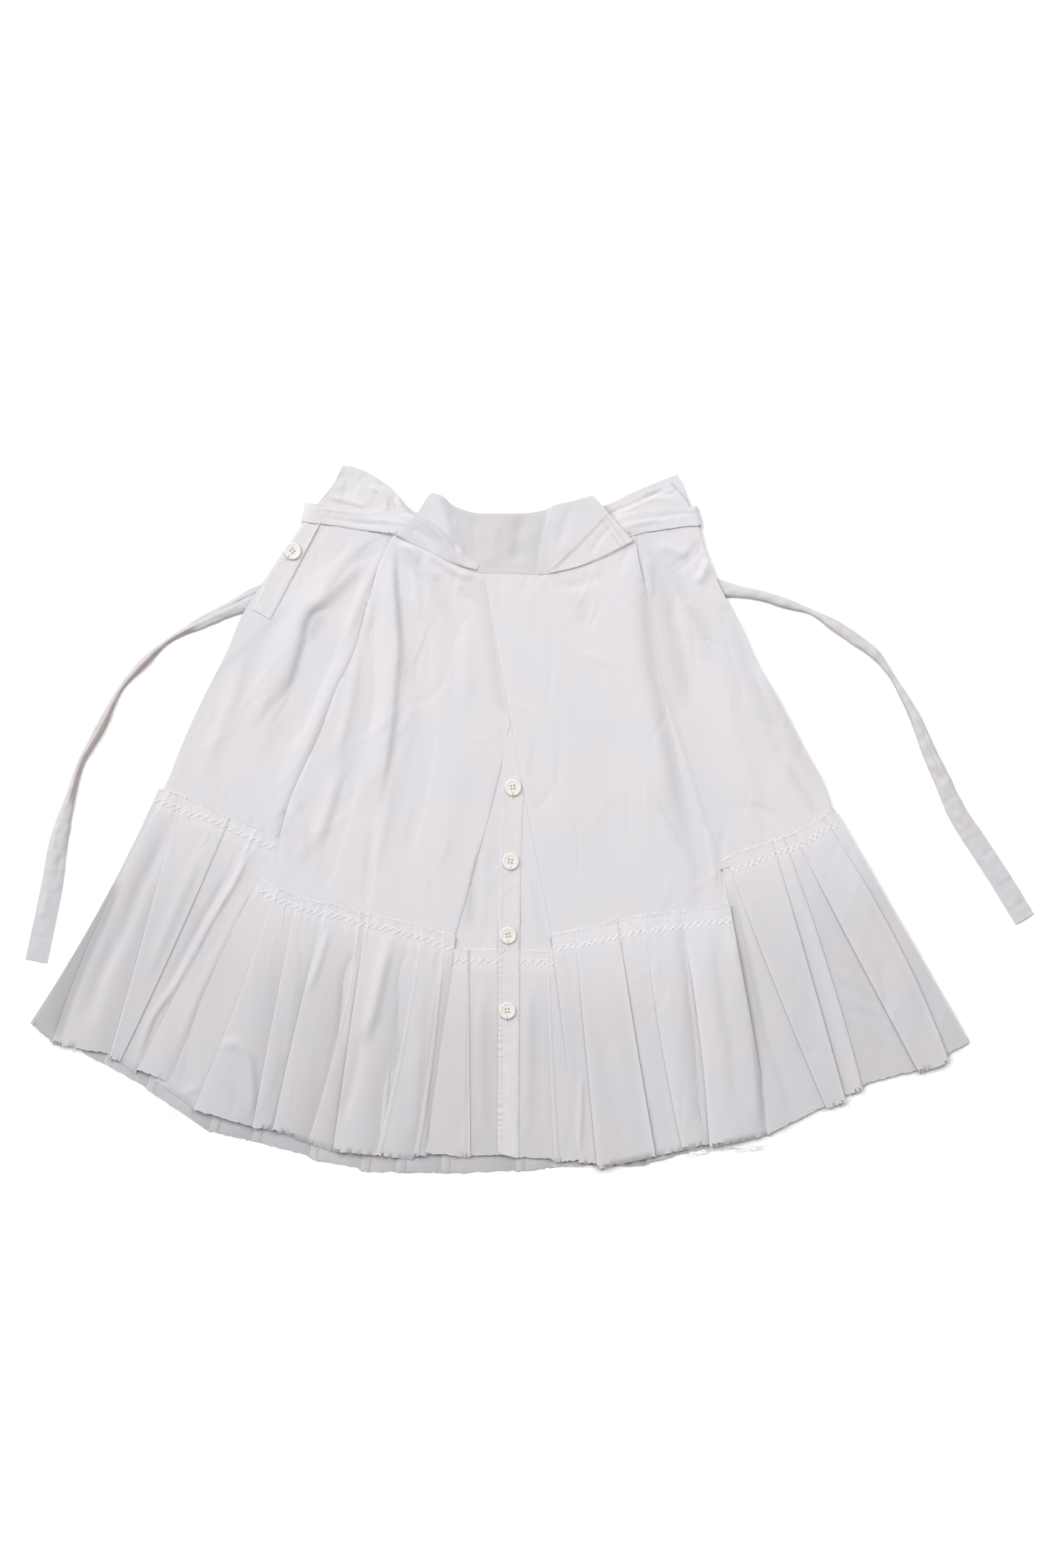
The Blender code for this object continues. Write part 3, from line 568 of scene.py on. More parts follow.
BAND_FOOT = [
    (-137.5, 293.5), (-98.5, 274), (-68.5, 261.5), (-47.5, 255.5), (-23.5, 255.5), (17.5, 254),
    (51.5, 261.5), (89, 276.5), (109, 287.5),
]


def shifted(line, by):
    """A line moved sideways, for the gap between two pieces that meet at a seam."""
    return [(x + by, y) for x, y in line]


# %% [markdown]
# ## The back
#
# The back panel and its flounce lie face down on the table and show only at the hem and the waist.
# They could be left flat, but the hem of the back hangs lower than the front's and its pleats show
# there as small steps, so the flounce has real pleats too.

# %% Height of each layer
BACK = 3.9  # underside of each layer above the table, in mm: the back panel,
FRONT = 5.2  # the side fronts,
YOKE = 6.4  # the yokes,
ON_FRONT = 6.5  # what is sewn on the side fronts,
CENTRE = 6.9  # the buttoned centre,
SEAM_HEIGHT = 7.0  # the princess seams,
ON_CENTRE = 7.7  # the flounces of the centre,
OVER_LEFT = 7.9  # the left crossing panel,
OVER_RIGHT = 9.4  # the right one,
OVER_FLOUNCE = 10.6  # their flounces,
BAND = 10.6  # and the waistband
HALF = THICK / 2

# %% Back panel
back = between(
    [(-191.5, 363.5), (-199, 347), (-220, 322), *SIDE_LEFT[1:]],
    [(154, 358), (167, 325), *SIDE_RIGHT[1:]],
    [(-140, 338), (-116, 313), (-8.5, 304), (80, 326), (115, 342.5)],
    [(-323.5, -7), (-256, -38), (-143.5, -105.5), (-68.5, -138.5), (-8.5, -146), (51.5, -137),
     (126.5, -101), (201.5, -57.5), (254, -33.5)],
    6.0,
)
back_height = BACK + HALF + crumple(back, 60, 0.15, 2)
cloth("back_panel", lifted(back, back_height), "white_cotton")

# %% [markdown]
# ## Yokes
#
# The waist of the back is finished with a shaped yoke that peaks at each side. It is two layers of
# cloth, turned and pressed, so it is smooth, with small creases where the strap of the tie pulls.

# %% Left and right yoke
yoke = between(
    [(-193, 367), (-201.5, 349), (-212, 335.5), (-221, 324.5)],
    [(-99.5, 315.5), (-98.5, 296.5)],
    [(-181, 365), (-158.5, 354.5), (-141.5, 341.5), (-126.5, 324.5), (-116, 317)],
    [(-173.5, 311), (-136, 303.5)],
    2.0,
)
folds = [
    Fold([(-196, 361), (-187, 349), (-190, 332.5)], -0.8, 5, 7),
    Fold([(-164, 346), (-152.5, 338.5), (-147.5, 327.5), (-148, 316)], 1.0, 3, 2.2, 0.15),
    Fold([(-160, 349), (-147.5, 343), (-140, 334), (-137.5, 320.5)], -0.6, 2.5, 2.5, 0.2),
    Fold([(-207.5, 335), (-190, 330.5), (-170, 324.5)], 0.6, 2.0, 1.6, 0.1),
    Fold([(-134, 334), (-127, 323.5), (-119, 313)], -0.9, 1.8, 1.8, 0.2),
    Fold([(-140, 331), (-131.5, 321.5), (-124, 313)], 0.6, 1.8, 1.6, 0.2),
]
yoke_shade = [
    Fold([(-207.5, 332.5), (-190, 328), (-170, 322)], 0.10, 1.2, 1.8, 0.1),
    Fold([(-196, 362.5), (-205, 346), (-215.5, 331)], 0.14, 4, 3, 0.2),
    Fold([(-134, 334), (-127, 323.5), (-119, 313)], 0.16, 1.8, 1.8, 0.25),
    Fold([(-127, 331), (-121, 322), (-116.5, 316)], 0.12, 1.5, 1.5, 0.25),
    Fold([(-143.5, 337), (-140, 328), (-139, 316)], 0.07, 2.5, 2.0, 0.25),
]
height = YOKE + HALF + relief(yoke, folds) + crumple(yoke, 22, 0.2, 3) + wrinkles(yoke, 12, 60, 61)
cloth("yoke_left", lifted(yoke, height), "ivory_cotton", shading_along_lines(yoke, yoke_shade))
yoke = between(
    [(60.5, 314.5), (60.5, 296.5)],
    [(145, 350), (166, 325), (170.5, 316)],
    [(81.5, 320.5)],
    [(107.5, 303.5), (137.5, 310)],
    2.0,
)
folds = [
    Fold([(115, 334), (137.5, 337), (162.5, 341.5)], -0.5, 3, 3),
    Fold([(104, 329.5), (126.5, 332.5), (149, 332.5)], 0.4, 3, 3),
    Fold([(80, 315.5), (111.5, 329), (147.5, 345.5)], -0.4, 1.0, 1.0, 0.05),
    Fold([(83, 312.5), (113, 325), (149.5, 341.5)], 0.3, 1.2, 1.2, 0.05),
    Fold([(92.5, 321.5), (95, 314)], 0.6, 2, 2),
]
height = YOKE + HALF + relief(yoke, folds) + crumple(yoke, 24, 0.2, 4) + wrinkles(yoke, 10, 10, 62)
cloth("yoke_right", lifted(yoke, height), "ivory_cotton")

# %% [markdown]
# ## Side fronts
#
# Each side front runs from the side to a long princess seam. Cloth that lies flat over a body shape
# has slack, and the slack falls into long soft folds that start at the waist and open downwards. Each
# is one row in a table. A ridge reads as a bright line with a dark one on its right, a trough as a dark
# line with a bright one on its right.

# %% Left side front
folds = [
    Step([(-139, 296.5), (-170, 282.5), (-188.5, 269), (-211, 251.5), (-245, 221.5)], -0.5, 6, 5),
    Fold([(-158.5, 276.5), (-188.5, 255.5), (-209.5, 235), (-230.5, 214), (-241, 182.5), (-250, 145),
          (-265, 100)], 3.2, 16, 9, 0.3),
    Fold([(-208, 224), (-218.5, 190), (-235, 151), (-248.5, 124), (-260, 100), (-286, 47.5),
          (-305.5, 0.5)], -2.6, 13, 5, 0.15),
    Fold([(-209.5, 218.5), (-218.5, 203.5), (-226, 182.5)], -2.4, 13, 9, 0.4),
    Fold([(-173.5, 205), (-190, 164), (-215, 111.5), (-245, 40), (-267.5, -12.5)], 1.5, 13, 7, 0.3),
    Fold([(-196, 201.5), (-212.5, 156.5), (-230, 111.5), (-248.5, 70)], -0.9, 7, 7, 0.3),
    Fold([(-293.5, 175), (-307, 130), (-323.5, 85), (-338.5, 40)], 1.0, 8, 9, 0.35),
    Fold([(-344.5, 66.5), (-346, 44), (-338.5, 17.5)], -0.9, 6, 3, 0.3),
    Fold([(-252.5, 212.5), (-263.5, 175), (-275, 130), (-284.5, 85)], 1.1, 12, 12, 0.35),
    Fold([(-202, 335.5), (-206, 325), (-218, 303.5), (-228.5, 283), (-242.5, 256), (-254, 235),
          (-269.5, 203.5)], -0.15, 3, 3, 0.2),
    Fold([(-143.5, 291.5), (-173.5, 272.5), (-196, 250), (-215, 224)], -0.9, 5, 6, 0.3),
    Fold([(-145, 286), (-164.5, 250), (-181, 212.5), (-196, 175)], 0.9, 6, 5, 0.3),
]
side = between(SIDE_LEFT, shifted(SEAM_LEFT, 3), [(-173.5, 308)], [(-352, 9.5), (-323.5, -2.5),
                                                  (-288.5, -20)], 2.2)
side_shade = [
    Fold(SEAM_LEFT, 0.10, 3.0, 3.0, 0.05),
    Fold([(-143.5, 289), (-173.5, 271), (-196, 250), (-212.5, 226)], 0.05, 8, 8, 0.3),
    Fold([(-209.5, 218.5), (-220, 200.5), (-230.5, 181)], 0.13, 9, 6, 0.35),
    Fold([(-230.5, 182.5), (-245, 137.5), (-260, 100), (-286, 47.5)], 0.05, 10, 6, 0.3),
    Fold([(-252.5, 231.5), (-269.5, 202), (-286, 171.5), (-307, 130)], 0.05, 9, 9, 0.35),
]
seam, _ = off_line(side, SEAM_LEFT)
height = FRONT + HALF + 0.5 * beside(seam, 16) - 0.3 * beside(seam, 4)
height = height + np.maximum(relief(side, folds), -0.9) + crumple(side, 45, 0.22, 5, 0.35) + 0.3
height = height + wrinkles(side, 55, 62, 51)
cloth("side_front_left", lifted(side, height), "white_cotton", shading_along_lines(side, side_shade))

# %% Right side front
folds = [
    Fold([(130, 280), (135.5, 250), (141.5, 205), (152.5, 152.5), (162.5, 100)], -1.6, 10, 12, 0.3),
    Fold([(121, 274), (124, 257.5), (128.5, 227.5)], 0.6, 5, 7, 0.3),
    Fold([(180.5, 291.5), (171.5, 276.5), (156.5, 263.5), (140, 252.5)], -1.3, 5, 4, 0.3),
    Fold([(185.5, 272.5), (180.5, 257.5), (173, 244)], 1.5, 3, 6, 0.3),
    Fold([(152.5, 254), (158, 239), (165.5, 224)], -1.3, 5, 4, 0.3),
    Fold([(130, 286), (152.5, 278.5), (170, 272.5)], 0.9, 5, 5, 0.3),
    Fold([(164, 226), (175, 205), (190, 160), (209, 92.5)], -0.8, 10, 10, 0.35),
    Fold([(203, 227.5), (215, 186.5), (224, 149), (239, 111.5), (249.5, 85), (265, 40)], -1.9, 9, 5, 0.2),
    Fold([(227.5, 171.5), (246.5, 130), (265, 92.5), (284, 55)], 1.5, 6, 8, 0.3),
    Fold([(182.5, 190), (201.5, 130), (224, 55), (239, -5)], 1.2, 14, 10, 0.3),
    Fold([(265, 55), (280, 36.5), (290, 17.5), (295, -5)], -1.1, 6, 4, 0.3),
    Fold([(122.5, 62.5), (152.5, 10), (171.5, -27.5)], -0.6, 4, 3, 0.3),
]
side_shade = [
    Fold(SEAM_RIGHT, 0.08, 2.5, 2.5, 0.05),
    Fold([(128, 287.5), (137, 250), (146, 205), (159.5, 145), (173, 92.5)], 0.09, 11, 8, 0.3),
    Fold([(130, 286), (145, 261.5), (161, 229), (182.5, 190), (201.5, 137.5)], 0.07, 6, 9, 0.35),
    Fold([(182.5, 291.5), (164, 269), (143, 251.5)], 0.05, 5, 4, 0.3),
    Fold([(204.5, 224), (219.5, 182.5), (231.5, 145), (248, 100), (269, 47.5)], 0.07, 8, 5, 0.25),
    Fold([(239, 152.5), (260, 111.5), (282.5, 66.5), (305, 17.5)], 0.05, 9, 9, 0.3),
    Fold([(265, 59), (280, 36.5), (293, 14), (299, -5)], 0.08, 5, 4, 0.3),
]
side = between(shifted(SEAM_RIGHT, -3), SIDE_RIGHT, [(141.5, 307)], [(239, -38), (276.5, -24.5)], 2.2)
seam, _ = off_line(side, SEAM_RIGHT)
height = FRONT + HALF + (SEAM_HEIGHT - FRONT) * beside(seam, 14)
height = height + np.maximum(relief(side, folds), -0.9) + crumple(side, 40, 0.22, 6, 0.4) + 0.3
height = height + wrinkles(side, 60, 112, 52)
cloth("side_front_right", lifted(side, height), "white_cotton", shading_along_lines(side, side_shade))

# %% [markdown]
# ## The buttoned centre
#
# Beneath the crossing panels runs a plain button front. It shows only in the long narrow triangle
# between their edges, so it keeps still and flat, with a few creases beside the placket.

# %% Two halves
half_left = between(
    shifted(SEAM_LEFT, 2.5) + [(-269, -51.5), (-278.5, -88)],
    [(-20, 271), (-20, -146.5)],
    [(-98.5, 286), (-53.5, 274)],
    [(-233.5, -109), (-170, -125), (-98.5, -143), (-65, -146.5)],
    4.0,
)
folds = [
    Fold([(-51.5, -12.5), (-57.5, -65), (-59.5, -125)], -0.7, 4, 4),
    Fold([(-40, 17.5), (-44.5, -50), (-47.5, -117.5)], 0.5, 5, 5),
]
height = CENTRE + HALF + relief(half_left, folds) + wrinkles(half_left, 70, 80, 55)
centre_shade = [
    Fold([(-47.5, 25), (-53.5, -35), (-59.5, -87.5), (-65, -125)], 0.06, 12, 9, 0.3),
    Fold([(-62.5, -68.5), (-59.5, -95), (-57.5, -117.5)], 0.05, 4, 5, 0.3),
]
cloth("centre_front_left", lifted(half_left, height), "white_cotton", shading_along_lines(half_left, centre_shade))
half_right = between(
    [(-19, 271), (-19, -147.5)],
    shifted(SEAM_RIGHT, -2.5) + [(200.5, -80), (209, -114.5)],
    [(21.5, 274), (66.5, 286)],
    [(25, -148), (89, -133), (126.5, -126.5), (164, -121)],
    4.0,
)
folds = [Fold([(-2.5, -50), (2.5, -87.5), (10, -125)], 0.7, 4, 4)]
height = CENTRE + HALF + relief(half_right, folds) + wrinkles(half_right, 60, 95, 56)
cloth("centre_front_right", lifted(half_right, height), "white_cotton")

# %% [markdown]
# ## Pleated flounces
#
# A flounce is a long straight strip, folded into knife pleats, with a raw edge at its top that is
# sewn flat over the panel. Waves could stand in for pleats, but a wave has no edge: the dark line
# where one fold slips beneath the next is what the eye looks for. So the strip really turns back under
# each edge. Its section is a closed path: under the edge by the lap, round, back to the edge, round
# again and on over the top, where it swells and then sinks towards the next edge.

# %% The pleat table and its section
Pleat = namedtuple("Pleat", "top mid hem face lap left right stand", defaults=[2.6])
# top, mid, hem: x of the folded edge at the heading, half way and at the hem. face: -1 the edge looks
# left and the cloth on its right lies on top, +1 the other way. lap: how far the cloth goes back
# underneath at the hem. left, right: height y of the hem on each side of the edge. stand: how high the
# edge stands at the hem. All in mm.
STITCHED = 14.0  # mm from the raw upper edge to the row of stitches
PRESSED = 0.9  # height of the pleats where they are stitched down
SETTLED = 0.68  # share of the stand in the table that is left once the edges have settled
LAP_AT_HEADING = 0.45  # share of its lap that a pleat has at the heading
HEM_STEP = 0.7  # mm on each side of an edge within which the hem goes from left to right
RAGGED = 0.6  # mm that the cut of the hem wanders
FINE = 3  # points to each stretch of the section
HEM_REACH = 34.0  # mm above the hem within which a flounce sinks on what lies below
SIDE_REACH = 4.0  # the same beside its right edge
HEM_DROP = 8.5  # the most that the hem comes down, in mm
# The next two are painted shade, multiplied into the cloth's colour.
HOLLOW = 0.13  # share of its light that the cloth loses where it slips under the next fold
PANEL_SHADE = 0.06  # the most that one pleat is darker than another, for they do not face the same way

# Stretches of one pleat that looks left: share of the lap, extra x in mm, share of the stand, extra z.
TURN = np.array([
    (0.5, 0.0, 0.0, 0.1),
    (0.95, 0.0, 0.0, 0.1),
    (1.0, 0.9, 0.0, 0.6),
    (0.95, 0.0, 0.0, 1.1),
    (0.5, 0.0, 0.45, 0.6),
    (0.0, 0.6, 0.95, -0.55),
    (0.0, 0.0, 1.0, -0.25),
    (0.0, 0.5, 1.0, 0.0),
])
# Stretch from one edge to the next, where it lies on top at its start and slips under at its end:
# share of the way, share of the stand.
FALL = np.array([(0.14, 1.02), (0.30, 0.96), (0.48, 0.82), (0.66, 0.60), (0.82, 0.34), (0.95, 0.09)])
LEVEL = np.array([(0.15, 1.0), (0.38, 0.95), (0.62, 0.95), (0.85, 1.0)])


def path_through(knots, fine):
    """Catmull-Rom curve through knots of shape (n, rows, k), with fine points to each stretch."""
    before = np.concatenate([knots[:1], knots[:-1]])
    after = np.concatenate([knots[1:], knots[-1:]])
    slope = (after - before) / 2
    s = (np.arange(fine) / fine)[None, :, None, None]
    a, b = knots[:-1, None], knots[1:, None]
    start, end = slope[:-1, None], slope[1:, None]
    curve = (2 * s**3 - 3 * s**2 + 1) * a + (s**3 - 2 * s**2 + s) * start
    curve = curve + (3 * s**2 - 2 * s**3) * b + (s**3 - s**2) * end
    return np.concatenate([curve.reshape(-1, *knots.shape[1:]), knots[-1:]])


def section_of(heading, hem, pleats, ends, v, strip, bow, panel_shades):
    """x, height and light across a flounce at each share v of its drop, and how far its pleats stand.

    Each edge bends through its three places: (1-v) top + v low + 4v(1-v) (mid - (top + low) / 2).
    """
    bend = 4 * v * (1 - v)

    def edge(top, mid, low):
        return (1 - v) * top + v * low + bend * (mid - (top + low) / 2)

    def knot(x, z, shade=1.0):
        return np.stack([x, z, shade + 0 * v], axis=-1)

    count = len(pleats)
    grow = smoothstep((v - strip * 0.8) / 0.35) * 0.55 + 0.45 * np.clip((v - strip) / (1 - strip), 0, 1)
    opens = LAP_AT_HEADING + (1 - LAP_AT_HEADING) * v
    stands = [PRESSED + (SETTLED * pleat.stand - PRESSED) * grow for pleat in pleats]
    edges = [edge(pleat.top, pleat.mid, pleat.hem) for pleat in pleats]
    first = edge(heading[0, 0], (heading[0, 0] + hem[0, 0]) / 2 + bow, hem[0, 0])
    last = edge(heading[-1, 0], (heading[-1, 0] + hem[-1, 0]) / 2, hem[-1, 0])
    rise = [end * grow for end in ends]
    # The third value of each knot is painted shade: darker where the cloth sinks under the next fold.
    knots = [knot(first, rise[0])]
    for k in range(count + 1):
        west = edges[k - 1] if k else first
        east = edges[k] if k < count else last
        starts_on_top = k > 0 and pleats[k - 1].face < 0
        ends_on_top = k < count and pleats[k].face > 0
        high_west = rise[0] if k == 0 else stands[k - 1] if starts_on_top else 0 * v
        high_east = rise[1] if k == count else stands[k] if ends_on_top else 0 * v
        table = LEVEL if starts_on_top == ends_on_top else FALL
        mirror = table is FALL and ends_on_top
        for way, share in (table[::-1] if mirror else table):
            way = 1 - way if mirror else way
            if table is FALL:
                top, foot = (high_east, high_west) if mirror else (high_west, high_east)
                z = foot + (top - foot) * share
                shade = 1 - HOLLOW * (1 - share)
            else:
                z = (high_west * (1 - way) + high_east * way) * share
                shade = 1 - HOLLOW / 3
            knots.append(knot(west + (east - west) * way, z, shade * panel_shades[k]))
        if k < count:
            pleat = pleats[k]
            for lap, extra, stand, more in TURN if pleat.face < 0 else TURN[::-1]:
                x = edges[k] - pleat.face * (lap * pleat.lap * opens + extra)
                knots.append(knot(x, np.maximum(stand * stands[k] + more, 0), 1 - HOLLOW * (1 - stand)))
    knots.append(knot(last, rise[1]))
    return np.array(knots), grow


# %% A whole flounce
def pleated(
    name, heading, hem_ends, pleats, base, ends, folds=(), seed=1, bow=0.0, pitch=4.0, fine=FINE, shades=()
):
    """A pleated flounce between its heading line and its hem.

    base: height of its lowest layer at heading and hem. ends: for its left and right edge, how much
    higher (or lower) than the base the edge lies at the hem. bow: how far its left edge swings out.
    """
    heading = np.array(heading, float)
    hem = [hem_ends[0]]
    for pleat in pleats:
        hem += [(pleat.hem - HEM_STEP, pleat.left), (pleat.hem + HEM_STEP, pleat.right)]
    hem = np.array([*hem, hem_ends[1]], float)
    length = abs(heading[:, 1].mean() - hem[:, 1].mean())
    strip = STITCHED / length
    v = np.concatenate([np.linspace(0, strip, 8)[:-1], np.linspace(strip, 1, int(length / pitch))])
    # painted shade: each pleat's panel darker by its own random share
    panel_shades = 1 - np.random.default_rng(seed + 900).uniform(0, PANEL_SHADE, len(pleats) + 1)
    knots, grow = section_of(heading, hem, pleats, ends, v, strip, bow, panel_shades)
    section = path_through(knots, fine)
    x, z, shade = section[..., 0], section[..., 1], section[..., 2]
    x_top, x_hem = x[:, 0], x[:, -1]
    y_top = np.interp(x_top, heading[:, 0], heading[:, 1])
    ragged = RAGGED * np.interp(x_hem, np.linspace(-600, 600, 700), chance.normal(size=700))
    y_hem = np.interp(x_hem, hem[:, 0], hem[:, 1]) + ragged
    y = (1 - v) * y_top[:, None] + v * y_hem[:, None]
    plan = np.stack([x, y], axis=-1)
    ground = base[0] + (base[1] - base[0]) * v + HALF
    gathers = beside(v - strip, strip * 0.9)[None] * np.sin(x_top / 1.9 + 2.5 * np.sin(x_top / 9))[:, None]
    curl = 0.4 * np.exp(-v / (strip * 0.25))[None] * (1 + 0.5 * np.sin(x_top / 6)[:, None])
    sewn = -0.35 * beside(v - strip, strip * 0.25)[None]
    height = ground + z + relief(plan, folds) + crumple(plan, 35, 0.2, seed, 0.25) + 0.22 * gathers
    height = height + curl + sewn
    height = height + wrinkles(plan, 60, 90, seed + 50, (12, 45), (1.8, 4.0), (0.15, 0.45), 14)
    if name != "back_flounce":
        near = near_sides(plan, HEM_REACH, "S")
        above = (height - ground) * (1 - 0.85 * near)
        if name.startswith("crossing"):
            near = np.maximum(near, near_sides(plan, SIDE_REACH, "E"))
        height = come_down(plan, height, near, 0.1, above, HEM_DROP)
    # Painted shade: the hollows of the pleats, up to 6 % darker towards the hem, and the shade lines.
    shade = (1 - (1 - shade) * grow) * (1 - 0.06 * smoothstep(2 * v)) * shading_along_lines(plan, shades)
    # Painted light: the strip above the stitches up to 5 % lighter.
    shade = shade * (1 + 0.05 * (1 - smoothstep((v - 0.7 * strip) / strip)))
    cloth(name, lifted(plan, np.maximum(height, HALF)), "white_cotton", shade)


# %% [markdown]
# The flounces of the sides and of the centre come first, then those of the crossing panels, which lie
# over the centre's. Where the photograph shows an edge as a bright rounded ridge beside a dark hollow,
# the end of one flounce stands up and the next one starts low.

# %% Heading lines, from left to right
HEADING_SIDE_LEFT = [
    (-383, 32.5), (-364, 26), (-352, 20), (-329.5, 9.5), (-305.5, 0.5), (-288.5, -8), (-259, -20),
]
HEADING_OVER_LEFT = [
    (-280, -61), (-256, -73), (-233.5, -81.5), (-204.5, -87.5), (-170, -97), (-130, -106),
    (-98.5, -115), (-76, -121),
]
HEADING_CENTRE_LEFT = [
    (-280, -78.5), (-233.5, -98), (-170, -113.5), (-98.5, -131.5), (-65, -134.5), (-20.5, -134),
]
HEADING_CENTRE_RIGHT = [
    (-17.5, -134.5), (25, -136), (89, -121), (126.5, -114.5), (164, -110), (210.5, -104),
]
HEADING_OVER_RIGHT = [
    (23, -119.5), (51.5, -113.5), (89, -104.5), (126.5, -98), (164, -93.5), (207.5, -87.5),
]
HEADING_SIDE_RIGHT = [(198.5, -42.5), (216.5, -33.5), (239, -26), (276.5, -12.5), (316, 11)]
HEADING_BACK = [
    (-381.5, 31), (-323.5, 5.5), (-256, -26), (-143.5, -93.5), (-68.5, -126.5), (-8.5, -134),
    (51.5, -125), (126.5, -89), (201.5, -45.5), (254, -21.5), (314.5, 10),
]
HEM_BACK = [
    (-514, -206), (-471.5, -235), (-388, -283), (-386, -299.5), (-368.5, -311.5), (-336.5, -321.5),
    (-267.5, -337), (-214, -353.5), (-210.5, -361), (-128.5, -365.5), (-37, -366.5), (11.5, -360.5),
    (134, -356.5), (171.5, -342.5), (246.5, -323), (344, -270.5), (452, -225.5),
]

# %% Back flounce
BACK_PLEATS = 19
hem = np.array(HEM_BACK)
pleats = []
for k in range(BACK_PLEATS):
    share = (k + 0.6 + chance.uniform(-0.3, 0.3)) / BACK_PLEATS
    top = HEADING_BACK[0][0] + (HEADING_BACK[-1][0] - HEADING_BACK[0][0]) * share
    low = hem[0, 0] + (hem[-1, 0] - hem[0, 0]) * share
    y = float(np.interp(low, hem[:, 0], hem[:, 1]))
    step = chance.uniform(-1.5, 1.5)
    stand = chance.uniform(0.9, 1.8)
    pleats.append(Pleat(top, (top + low) / 2, low, -1, 9, y + step, y - step, stand))
# Painted shade: the back's strip darker within about 60 mm of the hem, and along a thin line at its edge.
shades = [Fold(HEM_BACK, 0.12, 60, 60, 0.001), Fold(HEM_BACK, 0.10, 1.6, 1.6, 0.001)]
pleated(
    "back_flounce", HEADING_BACK, (HEM_BACK[0], HEM_BACK[-1]), pleats, (0.2, 0.0), (0.3, 0.3),
    seed=11, bow=7, pitch=9.0, fine=2, shades=shades,
)

# %% Side flounces
pleats = [
    Pleat(-374.5, -443, -494, -1, 8, -230, -232, 5.0),
    Pleat(-361, -396.5, -434.5, -1, 5, -242, -248, 3.6),
    Pleat(-310, -365, -424, 1, 5, -250, -251.5, 2.0),
    Pleat(-284.5, -344.5, -407, -1, 6, -263, -258.5, 2.8),
]
folds = [
    Fold([(-371.5, 3.5), (-382, -29), (-401.5, -71), (-421, -117.5), (-441.5, -158.5),
          (-462.5, -222.5)], -1.6, 9, 7, 0.2),
    Fold([(-287, -27.5), (-305, -65), (-324.5, -96.5), (-344.5, -132.5), (-368.5, -174.5), (-389, -203.5),
          (-406, -252.5)], 1.2, 4, 3, 0.15),
    Fold([(-267.5, -36.5), (-278.5, -61), (-293, -83.5), (-310, -117.5), (-326.5, -151), (-341.5, -181),
          (-359.5, -227), (-373, -267.5)], 0.8, 6, 4.5, 0.3),
    Fold([(-301, -38.5), (-323.5, -80), (-350, -128.5), (-380, -188.5)], -0.9, 5, 4, 0.3),
    Fold([(-334, -20), (-352, -61), (-374.5, -113.5), (-398.5, -170)], 0.9, 6, 5, 0.3),
]
# Painted shade: a wide dark wedge west of a line near the flounce's left edge.
shades = [Fold([(-422.5, -61), (-436, -96.5), (-458.5, -147.5), (-475, -188.5),
                (-489.5, -232)], 0.24, 34, 3, 0.12)]
pleated(
    "side_flounce_left", HEADING_SIDE_LEFT, ((-517, -211), (-373, -272)), pleats,
    (ON_FRONT, 2.8), (-0.4, 0.6), folds, 12, 7, shades=shades,
)
pleats = [
    Pleat(204.5, 254, 308, -1, 6, -296, -299.5, 3.0),
    Pleat(251, 290, 327.5, 1, 5, -293, -284.5, 3.0),
    Pleat(263, 308, 345.5, 1, 5, -281, -274, 2.0),
    Pleat(273.5, 338, 404, -1, 6, -258.5, -263, 5.0),
    Pleat(303.5, 378.5, 434, 1, 5, -252.5, -242, 3.2),
]
folds = [
    Fold([(209, -68.5), (224, -117.5), (236, -170), (248, -222.5), (263, -267.5),
          (275, -308.5)], -1.3, 4, 4, 0.2),
    Fold([(299, -50), (321.5, -102.5), (347.5, -162.5), (366.5, -215)], -0.8, 8, 8, 0.3),
    Fold([(361, -140), (368, -177.5), (374, -203.5)], -0.8, 3, 4, 0.3),
    Fold([(321.5, -35), (355, -102.5), (385, -162.5), (411.5, -215)], 0.9, 7, 7, 0.3),
    Fold([(310, -149), (336.5, -155), (359, -163)], -0.4, 2.2, 2.2, 0.3),
    Fold([(315.5, -167), (344, -180.5), (370, -197.5)], -0.45, 2.2, 2.2, 0.3),
    Fold([(323, -199), (347.5, -201.5), (373, -208)], -0.4, 2.2, 2.2, 0.3),
    Fold([(337, -197.5), (360.5, -212), (380.5, -230)], -0.45, 2.2, 2.2, 0.3),
    Fold([(326.5, -205), (341, -224), (359, -245)], -0.35, 2.2, 2.2, 0.3),
    Fold([(275.5, -215.5), (291.5, -230), (308.5, -241)], -0.4, 2.2, 2.2, 0.3),
    Fold([(283, -237.5), (299, -242), (315.5, -248)], -0.35, 2.2, 2.2, 0.3),
]
pleated(
    "side_flounce_right", HEADING_SIDE_RIGHT, ((247, -326), (456.5, -230)), pleats,
    (ON_FRONT + 0.1, 2.8), (1.4, -0.3), folds, 13,
)

